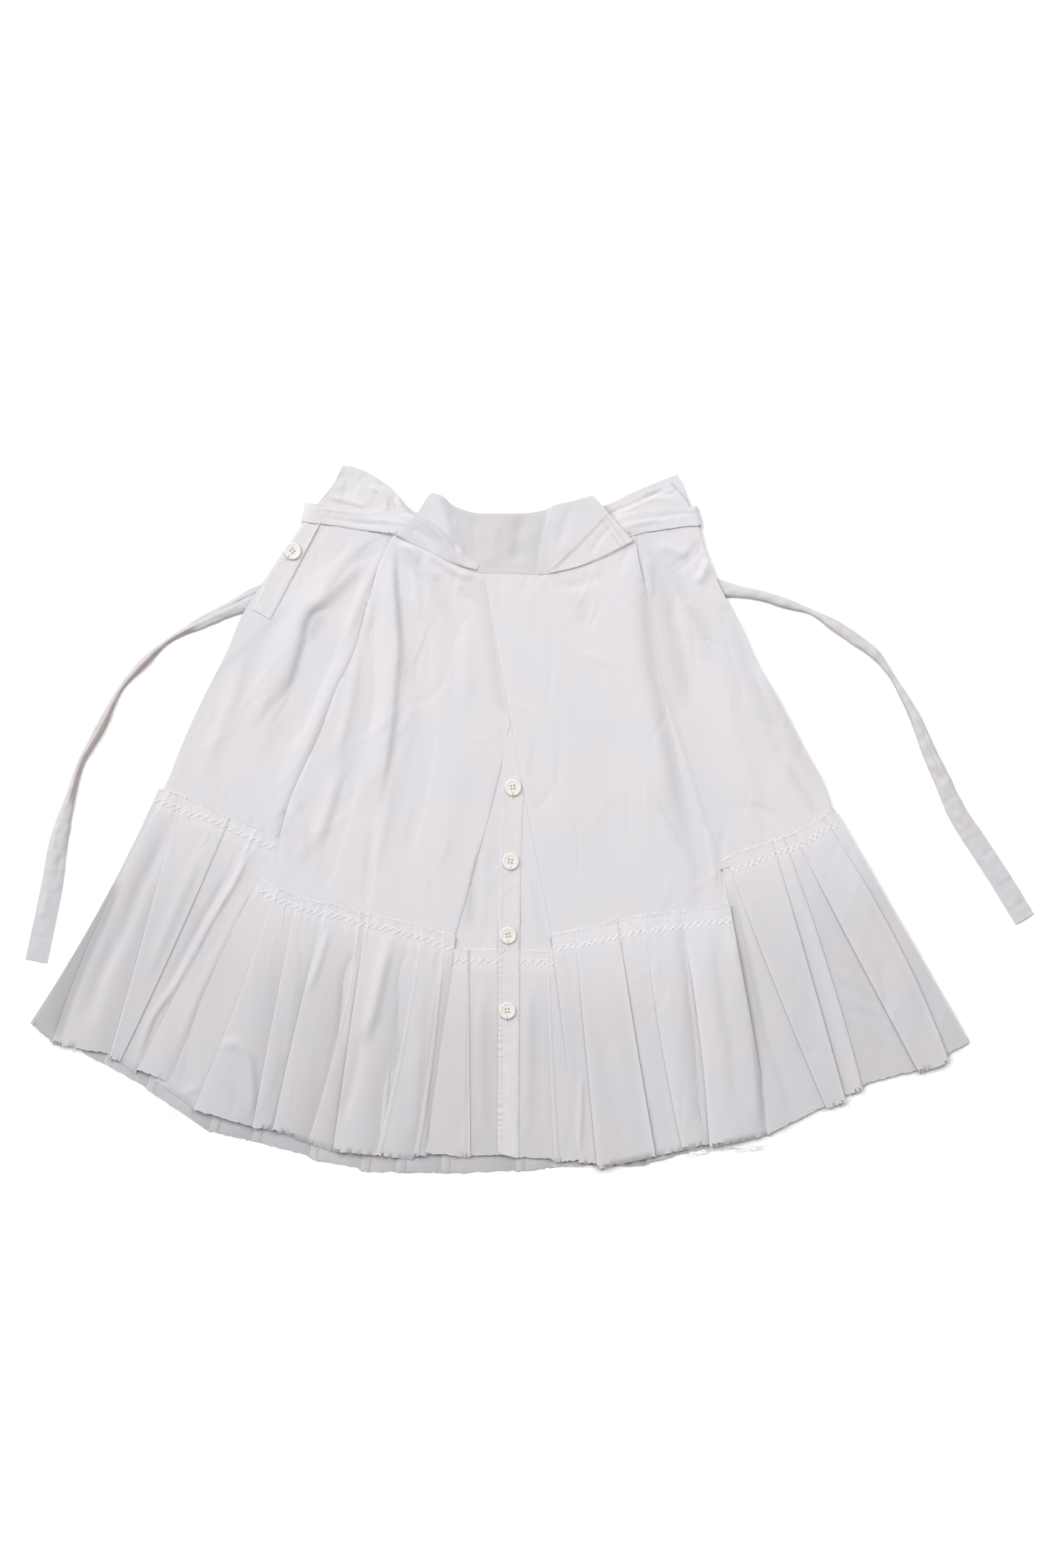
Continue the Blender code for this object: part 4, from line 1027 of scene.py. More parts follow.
# %% Flounces of the buttoned centre
pleats = [
    Pleat(-254.5, -293, -331, -1, 5, -290, -290, 1.0),
    Pleat(-224.5, -255.5, -286, -1, 5, -302.5, -302.5, 1.0),
    Pleat(-194.5, -218, -241, -1, 5, -316, -316, 1.0),
    Pleat(-164.5, -180.5, -196, -1, 5, -328, -328, 1.0),
    Pleat(-134.5, -145, -155, -1, 5, -332.5, -332.5, 1.0),
    Pleat(-104.5, -109, -113.5, -1, 5, -336.5, -344, 1.0),
    Pleat(-62.5, -62, -61, 1, 6, -350, -347.5, 1.5),
]
folds = [Fold([(-47.5, -158.5), (-50.5, -222.5), (-47.5, -342.5)], 0.8, 5, 5, 0.3)]
pleated(
    "centre_flounce_left", HEADING_CENTRE_LEFT, ((-373, -266), (-20.5, -347.5)), pleats,
    (ON_CENTRE, 3.4), (0.0, 0.0), folds, 14,
)
pleats = [
    Pleat(17.5, 21.5, 26.5, -1, 6, -351.5, -355, 1.5),
    Pleat(50, 59.5, 70, -1, 5, -350, -344, 1.0),
    Pleat(80, 92.5, 105.5, -1, 5, -337, -337, 1.0),
    Pleat(111.5, 126.5, 141.5, -1, 5, -329.5, -329.5, 1.0),
    Pleat(141.5, 158, 174.5, -1, 5, -323.5, -323.5, 1.0),
    Pleat(173, 190, 207.5, -1, 5, -317, -317, 1.0),
]
folds = [Fold([(-2.5, -158.5), (-0.5, -222.5), (-2.5, -342.5)], 0.9, 5, 5, 0.3)]
pleated(
    "centre_flounce_right", HEADING_CENTRE_RIGHT, ((-17.5, -350), (245, -309.5)), pleats,
    (ON_CENTRE, 3.4), (0.0, 0.0), folds, 15,
)

# %% [markdown]
# ## Plackets
#
# A placket is a folded strip of the same cloth with buttonholes in it. Its stitched edge draws the
# cloth together, so the strip has a row of small puckers across it, close together and strongest
# near the hem where the cloth is free.

# %% Centre placket
placket = between(
    [(-27.5, 257.5), (-28, 55), (-31, -35.5), (-32, -77), (-32, -106), (-32.5, -345.5)],
    [(-4, 257.5), (-5.5, 51.5), (-8.5, -40), (-9.5, -80.5), (-9.5, -110), (-11, -350.5)],
    [], [], 1.4,
)
down = placket[..., 1]
heights = np.array([(-350, 4.2), (-158.5, 8.2), (-128.5, 8.3), (-77, 7.3), (257.5, 7.2)])
free = smoothstep((62.5 - down) / 380)
edge_line = [(-27.5, 257.5), (-28, 55), (-31, -35.5), (-32, -106), (-32.5, -345.5)]
aside, _ = off_line(placket, edge_line, 200)
beat = np.sin(down / 1.05 + 1.4 * np.sin(down / 5.0)) * (0.6 + 0.4 * np.sin(down / 13.0))
near_edge = beside(aside - 1.5, 3.5)
folds = [
    Fold([(-26.5, 55), (-29.5, -35.5), (-30.5, -106), (-31, -342.5)], 0.6, 2, 2.2, 0.05),
    Fold([(-8.5, 25), (-11, -42.5), (-11.5, -110), (-14, -342.5)], 0.35, 2.2, 2.0, 0.05),
    Fold([(-21.5, -230), (-19, -290), (-20.5, -338.5)], 0.6, 4, 4, 0.3),
]
height = np.interp(down, heights[:, 0], heights[:, 1]) + HALF + relief(placket, folds, 0.8)
height = height + (0.12 + 0.3 * free) * beat * near_edge + crumple(placket, 14, 0.10, 21)
height = come_down(placket, height, near_sides(placket, 3.5, "WES"), gap=-0.1)
cloth("centre_placket", lifted(placket, height), "ivory_cotton")

# %% Side placket
placket = between(
    [(-210.5, 335), (-233, 307), (-253, 278), (-270.5, 252.5), (-286, 218)],
    [(-200, 329.5), (-217, 305), (-228.5, 283), (-242.5, 256), (-252.5, 236), (-268, 207.5)],
    [], [], 1.6,
)
folds = [
    Fold([(-202, 325), (-223, 293.5), (-242.5, 262), (-265, 216.5)], 0.5, 3, 2, 0.1),
    Fold([(-218.5, 325), (-227.5, 313), (-235, 302.5)], -0.8, 3, 3, 0.3),
    Fold([(-260.5, 250), (-268, 233.5), (-274, 215.5)], -0.5, 3, 3, 0.3),
]
height = np.clip(top_at(placket) + THICK / 2 - 0.1, ON_FRONT - 1.2 + HALF, ON_FRONT + HALF)
height = height + np.maximum(relief(placket, folds, 0.7) + crumple(placket, 16, 0.12, 22), -0.05)
height = come_down(placket, height, near_sides(placket, 4, "E"))
cloth("side_placket", lifted(placket, height), "ivory_cotton")

# %% [markdown]
# ## Crossing panels
#
# The left crossing panel lies below, the right one over it, and their inner edges make an inverted V.
# Short gathers fan out from the ends of the waistband, and one long crest stands along each princess
# seam and falls steeply into it.

# %% Left crossing panel
folds = [
    Fold([(-143, 291.5), (-142, 257.5), (-139, 212.5), (-137, 175), (-140, 141.5), (-143.5, 100),
          (-158.5, 10)], 2.4, 18, 5, 0.2),
    Fold([(-157, 250), (-161, 205), (-159.5, 167.5), (-158.5, 130), (-170, 70)], -1.0, 6, 5, 0.3),
    Fold([(-173.5, 190), (-181, 145), (-190, 100), (-202, 55)], 0.9, 6, 5, 0.3),
    Fold([(-106, 203.5), (-110.5, 160), (-106, 107.5), (-117.5, 55), (-128.5, -5)], -0.9, 9, 8, 0.35),
    Fold([(-101, 259), (-89.5, 231.5), (-77.5, 205), (-68.5, 175)], -1.0, 7, 6, 0.35),
    Fold([(-74.5, 235), (-59.5, 232), (-47.5, 223)], -1.2, 6, 5, 0.3),
    Fold([(-134, 287.5), (-119.5, 277), (-113.5, 263.5)], 1.3, 4, 3, 0.3),
    Fold([(-128.5, 272.5), (-124, 250), (-121, 227.5)], -0.9, 4, 4, 0.3),
    Fold([(-106, 276.5), (-101.5, 261.5), (-95, 246.5)], 0.8, 4, 4, 0.3),
    Fold([(-137.5, 280), (-135.5, 250), (-131.5, 212.5), (-128.5, 175)], -0.8, 4, 6, 0.25),
    Fold([(-125, 269), (-117.5, 235), (-112, 205)], 0.7, 5, 5, 0.3),
    Fold([(-61, 212.5), (-62.5, 160), (-68.5, 107.5)], 0.6, 9, 9, 0.35),
    Fold([(-151, 272.5), (-157, 250), (-163, 220), (-168.5, 190)], 0.7, 4, 5, 0.25),
    Fold([(-130, 287.5), (-98.5, 272.5), (-72.5, 256), (-52, 249.5)], 1.6, 5, 4, 0.2),
    Fold([(-98.5, 107.5), (-104.5, 55), (-115, 2.5), (-128.5, -50)], -0.7, 7, 5, 0.3),
    Fold([(-140, 70), (-147.5, 10), (-162.5, -57.5)], 0.8, 8, 7, 0.3),
    Fold([(-176, 70), (-188.5, 17.5), (-202, -27.5), (-213.5, -80)], -1.2, 9, 6, 0.3),
    Fold([(-196, 55), (-211, 2.5), (-226, -35)], 1.1, 7, 6, 0.3),
    Fold([(-160, -5), (-164.5, -50), (-170, -98.5)], -0.9, 5, 4, 0.3),
    Fold([(-239.5, 10), (-233.5, -20), (-237.5, -50)], 1.0, 7, 7, 0.35),
    Fold([(-68.5, 92.5), (-80, 25), (-98.5, -72.5)], 0.6, 16, 14, 0.35),
]
over = between(
    SEAM_LEFT + TUCKED_LOW,
    EDGE_LEFT,
    [(-98.5, 286), (-47.5, 271)],
    [(-256, -82), (-204.5, -96.5), (-170, -105.5), (-130, -114.5), (-98.5, -123.5)],
    2.2,
)
seam, _ = off_line(over, SEAM_LEFT + SEAM_LEFT_LOW)
lower = smoothstep((-12.5 - over[..., 1]) / 90)
into_seam = OVER_LEFT - SEAM_HEIGHT - 0.75 + 0.2 * lower
height = OVER_LEFT + 0.2 * lower + HALF - into_seam * beside(seam, 13)
band_side, _ = off_line(over, BAND_FOOT)
height = height + 1.3 * beside(band_side, 15) - 1.0 * beside(band_side, 4.5) * (over[..., 0] < -76)
tuck, _ = off_line(over, [(-256, -12.5), (-264.5, -31), (-274, -53.5), (-285.5, -78.5)])
tucked = smoothstep((-24.5 - over[..., 1]) / 12)
height = height - 0.4 * beside(tuck, 8) * tucked
# Painted shade along creases and edges, and one line of painted light below the band.
over_shade = [
    Fold([(-47.5, 254), (-43, 227.5), (-35.5, 175), (-26, 119), (-23, 107.5)], 0.08, 9, 2.0, 0.12),
    Fold([(-134, 250), (-127, 205), (-128.5, 160), (-131.5, 115)], 0.06, 7, 7, 0.35),
    Fold([(-128.5, 276.5), (-117.5, 257.5), (-106, 246.5)], 0.07, 4, 5, 0.35),
    Fold([(-74.5, 233.5), (-59.5, 230.5), (-47.5, 221.5)], 0.07, 5, 5, 0.35),
    Fold([(-119.5, 278), (-98.5, 263), (-75.5, 251), (-58, 247)], -0.06, 5, 4, 0.2),
    Fold([(-101, 254), (-89.5, 227.5), (-77.5, 203.5)], 0.05, 7, 6, 0.35),
    Fold([(-170, 175), (-176, 130), (-187, 77.5), (-197.5, 25)], 0.05, 8, 8, 0.35),
    Fold([(-233.5, 40), (-239.5, -5), (-250, -50)], 0.05, 9, 8, 0.35),
]
under_edge = smoothstep((over[..., 0] + 68.5) / 20) * smoothstep((over[..., 1] - 70) / 60)
sewn_down = 1 - 0.75 * near_sides(over, 22, "S")
height = height + np.maximum(relief(over, folds) * (1 - under_edge) * sewn_down, -0.75)
height = height + crumple(over, 50, 0.2, 8, 0.35) * sewn_down
height = height + wrinkles(over, 80, 80, 53) * (1 - under_edge) * sewn_down
near_west = near_sides(over, 13, "W") * (1 - tucked) + near_sides(over, 4, "W") * tucked
height = come_down(over, height, np.maximum(near_west, near_sides(over, 12, "E")))
cloth("crossing_front_left", lifted(over, height), "white_cotton", shading_along_lines(over, over_shade))

# %% Right crossing panel
folds = [
    Step([(111.5, 295), (114.5, 250), (119, 212.5), (125, 175), (132.5, 137.5), (140, 96.5), (147.5, 55),
          (156.5, 2.5), (165.5, -50), (167.5, -102.5)], -1.1, 3, 11),
    Fold([(108.5, 291.5), (111.5, 250), (114.5, 205), (119, 167.5), (124, 130), (132.5, 85),
          (145, 10)], 1.0, 22, 9, 0.15),
    Fold([(105.5, 284), (98, 269), (92.5, 250)], -0.5, 5, 4, 0.3),
    Fold([(21.5, 246.5), (40, 241), (62.5, 246.5), (81.5, 250)], -0.5, 5, 6, 0.3),
    Fold([(44, 227.5), (60.5, 216.5), (53, 190)], -0.5, 8, 8, 0.35),
    Fold([(51.5, 175), (74, 166), (96.5, 156.5)], 0.4, 4, 4, 0.3),
    Fold([(21.5, 205), (29, 130), (40, 40), (55, -50)], 0.7, 22, 20, 0.35),
    Fold([(74, 115), (85, 40), (104, -50)], -0.5, 16, 14, 0.35),
    Fold([(182.5, 2.5), (190, -35), (194, -80)], 0.8, 4, 4, 0.3),
]
over = between(
    EDGE_RIGHT,
    SEAM_RIGHT + SEAM_RIGHT_LOW,
    [(17.5, 266.5), (66.5, 277)],
    [(51.5, -123.5), (89, -114.5), (126.5, -107.5), (164, -102.5)],
    2.2,
)
seam, _ = off_line(over, SEAM_RIGHT + SEAM_RIGHT_LOW)
height = OVER_RIGHT + HALF - 1.3 * beside(seam, 15)
sewn_down = 1 - 0.75 * near_sides(over, 22, "S")
height = height + np.maximum(relief(over, folds) * sewn_down, -2.2)
height = height + (crumple(over, 60, 0.18, 9, 0.4) + wrinkles(over, 70, 95, 54)) * sewn_down
height = come_down(over, height, np.maximum(near_sides(over, 5, "W"), near_sides(over, 9, "E")))
over_shade = [
    Fold([(114.5, 257.5), (120.5, 190), (129.5, 137.5), (138.5, 92.5), (147.5, 47.5), (155, 2.5),
          (162.5, -50)], 0.08, 8, 5, 0.2),
    Fold([(128.5, 29), (145, -1), (161, -35)], 0.06, 3, 2, 0.3),
    Fold([(41, 227.5), (56, 218.5), (51.5, 199)], 0.04, 6, 6, 0.35),
]
cloth("crossing_front_right", lifted(over, height), "white_cotton", shading_along_lines(over, over_shade))

# %% Flounces of the crossing panels
pleats = [
    Pleat(-262, -301, -347.5, -1, 7, -298, -300.5, 2.6),
    Pleat(-239.5, -263.5, -286, -1, 6, -317.5, -318.5, 3.2),
    Pleat(-209.5, -239, -265, -1, 7, -322, -320.5, 4.6),
    Pleat(-176.5, -195.5, -229, -1, 5, -335.5, -335, 1.8),
    Pleat(-167.5, -185.5, -203, -1, 7, -344, -344, 4.4),
    Pleat(-112, -131.5, -158.5, -1, 6, -347.5, -347.5, 1.6),
    Pleat(-89.5, -101, -119.5, -1, 5, -353, -348.5, 1.2),
]
folds = [
    Fold([(-143, -117.5), (-148, -140), (-155, -170), (-162.5, -203.5), (-171.5, -233.5)], 2.2, 6, 5, 0.3),
    Fold([(-173.5, -215), (-179, -260), (-187, -290), (-194.5, -320)], -0.9, 6, 5, 0.3),
    Fold([(-179.5, -132.5), (-188, -162.5), (-191, -200), (-196, -237.5)], -1.1, 5, 5, 0.3),
    Fold([(-323.5, -235), (-302.5, -230.5), (-291.5, -242), (-286, -267.5),
          (-287, -312.5)], 1.5, 6, 3, 0.2),
    Fold([(-307, -248.5), (-305, -275), (-307, -311)], -0.7, 5, 5, 0.3),
    Fold([(-365, -284), (-352, -281), (-338.5, -274)], 0.8, 3, 3, 0.3),
    Fold([(-140, -230), (-151, -282.5), (-157, -342.5)], -0.8, 11, 9, 0.35),
    Fold([(-113.5, -215), (-115, -275), (-118, -342.5)], 0.9, 9, 6, 0.3),
    Fold([(-89.5, -147.5), (-96.5, -188.5), (-102.5, -233.5), (-106, -275),
          (-107.5, -346)], 0.6, 4, 4, 0.15),
    Fold([(-207.5, -111.5), (-218, -147.5), (-229, -179)], 1.2, 3, 4, 0.3),
    Fold([(-127, -125), (-131.5, -185), (-136, -237.5)], -0.8, 5, 5, 0.35),
]
pleated(
    "crossing_flounce_left", HEADING_OVER_LEFT, ((-387.5, -271), (-104.5, -349)), pleats,
    (OVER_FLOUNCE - 1.3, 4.2), (-1.4, -0.9), folds, 16,
)
pleats = [
    Pleat(47.5, 59, 71, -1, 7, -356, -362, 4.2),
    Pleat(91, 110, 131, 1, 7, -349, -348.5, 3.4),
    Pleat(119, 135.5, 159.5, -1, 6, -342.5, -342.5, 2.8),
    Pleat(156.5, 176, 187, -1, 8, -335, -339.5, 4.8),
]
folds = [
    Fold([(54.5, -260), (53.5, -305), (52, -350)], 0.9, 2.5, 2.5, 0.3),
    Fold([(156.5, -102.5), (162.5, -132.5), (167.5, -170), (173, -222.5), (181, -327.5)], -1.3, 7, 4, 0.15),
    Fold([(206, -106), (212, -132.5), (219.5, -162.5), (228.5, -215), (235, -275),
          (239, -329)], 2.0, 7, 5, 0.2),
    Fold([(190, -117.5), (201.5, -177.5), (210.5, -237.5), (215, -320)], -1.0, 7, 6, 0.3),
    Fold([(51.5, -147.5), (66.5, -215), (85, -275), (102.5, -342.5)], -0.7, 12, 10, 0.35),
]
# Painted light: the right crossing flounce about 5 % lighter over most of its width.
pleated(
    "crossing_flounce_right", HEADING_OVER_RIGHT, ((51.5, -355), (251, -326.5)), pleats,
    (OVER_FLOUNCE - 0.1, 4.6), (-0.4, -1.2), folds, 17,
    shades=[Fold([(126.5, -102.5), (149, -215), (156.5, -350)], -0.05, 130, 130, 0.001)],
)

# %% [markdown]
# ## Waistband
#
# The band is shaped, and both its ends are folded down over it into flat triangles, where the ties are
# sewn in. It is pressed but handled, so it has a few sharp creases from edge to edge.

# %% Band and corners
band = between(
    [(-116, 316), (-137.5, 293.5)],
    [(80, 320), (109, 287.5)],
    [(-98, 338), (-89.5, 335), (-80, 326), (-61, 318.5), (-27.5, 317), (10, 319), (19, 321.5),
     (24.5, 324.5), (44, 329.5), (60.5, 334), (65.5, 335), (69.5, 332), (74.5, 326)],
    [(-98.5, 274), (-68.5, 261.5), (-47.5, 255.5), (-23.5, 255.5), (17.5, 254), (51.5, 261.5), (89, 276.5)],
    1.8,
)
band_folds = [
    Fold([(-92, 334), (-82, 317.5), (-77, 295), (-71.5, 274)], -1.0, 3, 2.2, 0.2),
    Fold([(-82, 314), (-76, 291.5), (-68.5, 269)], 0.9, 2, 4, 0.3),
    Fold([(-7, 316), (-11, 291.5), (-14.5, 263.5)], -1.0, 7, 6, 0.25),
    Step([(23.5, 326.5), (17.5, 306.5), (13, 287.5), (8.5, 254)], 0.5, 0.8, 1.6),
    Fold([(44, 329), (36.5, 302.5), (27.5, 276.5)], -0.5, 5, 5, 0.3),
    Fold([(-31, 316), (-35, 291.5), (-38.5, 261.5)], 0.5, 6, 6, 0.3),
    Fold([(-57.5, 314), (-57.5, 291.5), (-53.5, 265)], -0.5, 5, 5, 0.3),
]
BAND_LOW, BAND_TOP = 254, 325  # y of its foot and of its waist, between which it climbs
ON_BAND = THICK + 0.05  # how far above the band its turned-down corners lie


def band_level(plan):
    """Height of the band: a slope that climbs to the waist, plus its creases and soft uneven ground."""
    tilt = np.clip((plan[..., 1] - BAND_LOW) / (BAND_TOP - BAND_LOW), 0, 1)
    return BAND - 0.7 + HALF + 1.5 * tilt + relief(plan, band_folds) + crumple(plan, 26, 0.2, 23)


height = band_level(band)
# Painted light and shade on the band: 11 % darker east of a line across its left part, up to 8 % lighter
# towards its right end, and darker along three creases.
darker, _ = off_line(band, [(-91, 340), (-85, 321.5), (-80, 299), (-76, 281.5), (-67, 266.5), (-47.5, 250)])
lit = 1 - 0.11 * smoothstep((darker + 3) / 7) + 0.08 * smoothstep((band[..., 0] - 6.5) / 18)
lit = lit * shading_along_lines(band, [
    Fold([(-92, 337), (-83, 316), (-79, 293.5), (-70, 271)], 0.09, 4, 7, 0.2),
    Fold([(-7, 316), (-11, 291.5), (-14.5, 263.5)], 0.05, 9, 9, 0.3),
    Fold([(19, 322), (14, 302.5), (10, 284), (6.5, 257.5)], 0.06, 6, 2, 0.2),
])
height = come_down(band, height, near_sides(band, 1.6, "S"), drop=2)
cloth("waistband", lifted(band, height), "white_cotton", lit)
corner = between(
    [(-116.5, 315.5), (-136, 294.5)],
    [(-52, 263), (-54.5, 258.5)],
    [(-89.5, 297.5)],
    [(-98.5, 275), (-68.5, 262)],
    1.4,
)
folds = [
    Fold([(-113.5, 314.5), (-98.5, 302.5), (-86.5, 290.5), (-79, 277), (-65, 263),
          (-52, 257.5)], 1.2, 4.5, 2.5, 0.15),
    Fold([(-125, 304), (-106, 289), (-92.5, 275.5)], -0.7, 4, 4, 0.3),
]
height = band_level(corner) + ON_BAND + relief(corner, folds) + crumple(corner, 18, 0.12, 24)
height = come_down(corner, height, near_sides(corner, 1.5, "SE"), drop=2)
# Painted shade: the left corner 7 % darker all over.
cloth("band_corner_left", lifted(corner, height), "white_cotton", 0.93)
corner = between(
    [(19, 258.5), (22, 255.5)],
    [(80, 318.5), (107.5, 288.5)],
    [(51.5, 289)],
    [(51.5, 262), (81.5, 275)],
    1.4,
)
folds = [
    Fold([(78.5, 316), (51.5, 287.5), (23, 259)], 0.6, 2.5, 2.5, 0.1),
    Fold([(89, 306.5), (74, 291.5), (62.5, 272.5)], -0.4, 3, 3, 0.3),
]
height = band_level(corner) + ON_BAND + relief(corner, folds) + crumple(corner, 22, 0.10, 25)
height = come_down(corner, height, near_sides(corner, 1.5, "SNW"), drop=2)
corner_shade = [
    Fold([(81.5, 317), (52, 287.5), (20.5, 257.5)], 0.12, 1.6, 1.6, 0.02),
    Fold([(78.5, 314), (90.5, 299), (100, 284.5)], 0.12, 1.0, 1.0, 0.02),
    Fold([(73, 311), (86, 294.5), (94, 282.5)], 0.10, 1.0, 1.0, 0.02),
]
cloth("band_corner_right", lifted(corner, height), "white_cotton", shading_along_lines(corner, corner_shade))

# %% [markdown]
# ## Ties
#
# Each tie is a strip of doubled cloth about a metre long. It leaves the band flat, goes over the yoke,
# turns round the side of the skirt, runs across beneath the back and comes out on the other side.
# There it has rolled up lengthwise, as narrow strips of cloth do once they have been tied, and it
# opens again towards its end. The strip is drawn as an arc across its run, and how far the arc closes
# is one of the values given along the way.

# %% Places along each tie
ON_TABLE = 0.45  # heights in mm of the middle of the strip: on the table,
OVER_TIE = 1.9  # where one tie crosses the other,
STRAP_LEFT = 7.2  # and over the two yokes
STRAP_RIGHT = 7.0
STRAP_LONG = 95.0  # mm of each tie that lies on the front
TIE_WIDTH = 22.5
Lay = namedtuple("Lay", "at width curl z across", defaults=[TIE_WIDTH, 0, ON_TABLE, None])
# The middle of the strip in plan, the width of the cloth, how far it has rolled in degrees, its height,
# and the direction of its width in degrees (None: square to its run).


def round_edge(at, top, across, width, side):
    """The places of a tie that turns round the skirt's edge in a half circle from top to table."""
    radius = (top - ON_TABLE) / 2
    out = math.radians(across + 90 * side)
    places = []
    for turn in (0, 36, 72, 108, 144, 180):
        reach = radius * math.sin(math.radians(turn))
        x = at[0] + reach * math.cos(out)
        y = at[1] + reach * math.sin(out)
        z = ON_TABLE + radius + radius * math.cos(math.radians(turn))
        places.append(Lay((x, y), width, 0, z, across))
    return places


TIE_LEFT = [
    Lay((-124, 304), 29, 0, 11.2, 45),
    Lay((-136, 306.5), 27, 0, 10.6, 60),
    Lay((-149, 308.5), 23, 0, 9.3, 76),
    Lay((-173.5, 311), 22, 0, STRAP_LEFT, 84),
    Lay((-203.5, 315.5), 21, 0, STRAP_LEFT, 84),
    *round_edge((-230.5, 318.5), STRAP_LEFT, 75, 20, 1),
    Lay((-196, 312.5), TIE_WIDTH, 0, ON_TABLE, 79),
    Lay((-23.5, 280)),
    Lay((126.5, 251.5)),
    Lay((201.5, 239), 22, 140),
    Lay((212, 237.5), 21, 185),
    Lay((242.5, 232), 20, 240),
    Lay((267.5, 224), 20, 250),
    Lay((293, 215.5), 12, 285),
    Lay((314.5, 203), 21, 230),
    Lay((337, 188), 22, 225),
    Lay((359, 171.5), 20, 250),
    Lay((377, 147.5), 12, 285),
    Lay((387.5, 130), 16, 275),
    Lay((399.5, 107.5), 21, 240),
    Lay((414.5, 71), 22, 180),
    Lay((428.5, 41), 22, 145),
    Lay((443.5, 8), TIE_WIDTH, 105),
    Lay((465.5, -26), TIE_WIDTH, 60),
    Lay((487, -59), TIE_WIDTH, 50),
    Lay((514, -103), TIE_WIDTH, 40),
]
TIE_RIGHT = [
    Lay((93.5, 303.5), 27, 0, 10.6, 128),
    Lay((102.5, 305.5), 26, 0, 10.0, 122),
    Lay((117.5, 308.5), 23, 0, 8.3, 105),
    Lay((143, 311.5), 21, 0, STRAP_RIGHT, 94),
    Lay((162.5, 314), 20, 0, STRAP_RIGHT, 98),
    *round_edge((173.5, 314.5), STRAP_RIGHT, 104, 20, -1),
    Lay((149, 309.5), TIE_WIDTH, 0, ON_TABLE, 101),
    Lay((68, 294.5)),
    Lay((50, 290.5), TIE_WIDTH, 0, OVER_TIE),
    Lay((-82, 266), TIE_WIDTH, 0, OVER_TIE),
    Lay((-100, 262)),
    Lay((-211, 241)),
    Lay((-284.5, 230), TIE_WIDTH, 60),
    Lay((-302.5, 221.5), 22, 140),
    Lay((-338.5, 205), 21, 215),
    Lay((-376, 184), 12, 285),
    Lay((-397, 165.5), 20, 270),
    Lay((-423.5, 135.5), 11, 285),
    Lay((-443.5, 97), 21, 265),
    Lay((-466, 55), 16, 285),
    Lay((-473.5, 31), 19, 275),
    Lay((-481, 4), 22, 185),
    Lay((-487, -20), TIE_WIDTH, 125),
    Lay((-494.5, -66.5), TIE_WIDTH, 60),
    Lay((-511, -146.5), TIE_WIDTH, 10),
]


# %% The strips
TIE_PITCH = 2.5  # mm between two sections
ARC_PRESSED = 0.62  # a rolled strip is flatter than a round arc by this share
TIE_THICK = 0.8


def tie(name, places, creases, seed, hollow_shade_colour, side_of_hollow):
    """A strip along its places, its section an arc R sin a, R cos a pressed low, with creases added.

    creases: (share of the run, share across from -1 to 1, length in mm, half width in mm, height).
    """
    at = np.array([place.at for place in places], float)
    run = unit(np.gradient(at, axis=0) + 1e-9)
    square = np.stack([-run[:, 1], run[:, 0]], axis=-1)
    across = []
    for place, normal in zip(places, square):
        if place.across is not None:
            angle = math.radians(place.across)
            normal = np.array([math.cos(angle), math.sin(angle)])
        if across and normal @ across[-1] < 0:
            normal = -normal
        across.append(normal)
    rest = [(place.width, place.curl) for place in places]
    knots = np.column_stack([at, [place.z for place in places], across, rest])
    long = length_of(knots[:, :3])
    fine = np.linspace(0, 1, int(long / TIE_PITCH))
    values = through(knots, shares_of(knots[:, :3]), fine)
    side = unit(values[:, 3:5])[:, None]
    curl = np.radians(np.clip(values[:, 6], 1.0, 300.0))[:, None]
    wide = values[:, 5][:, None]
    t = np.linspace(-1, 1, 25)[None]
    radius = wide / curl
    aside = radius * np.sin(curl / 2 * t)
    rise = ARC_PRESSED * radius * (np.cos(curl / 2 * t) - np.cos(curl / 2))
    flat = np.stack([fine[:, None] * long + 0 * t, wide / 2 * t + 0 * fine[:, None]], axis=-1)
    waves = crumple(flat, 16, 1.0, seed)
    rolled = smoothstep(curl / 3.0)
    change = (0.18 + 0.30 * rolled) * waves
    for share, offset, length, half, height in creases:
        lengthwise = beside((fine[:, None] - share) * long, length)
        change = change + height * lengthwise * beside((t - offset) * wide / 2, half)
    z = np.maximum(values[:, 2][:, None] + rise + change, ON_TABLE)
    plan = values[:, None, :2] + side * aside[..., None]
    strap = (fine * long < STRAP_LONG)[:, None]
    edge = beside((1 - np.abs(t)) * wide / 2, 4.0)
    z = np.where(strap, come_down(plan, z, edge, 0.0), z)
    # Painted shade: the free run 11 % darker, and one side of each rolled hollow tinted to a brownish
    # shade.
    free = smoothstep((fine * long - 3 * STRAP_LONG) / 60)[:, None]
    dark = smoothstep((side_of_hollow - t) / 0.25) * smoothstep((curl - 3.7) / 0.7) * free
    painted_shading = (1 - 0.11 * free[..., None]) * (1 - (1 - np.array(hollow_shade_colour)) * dark[..., None])
    cloth(name, np.dstack([plan, z]), "white_cotton", painted_shading, TIE_THICK)
    return long


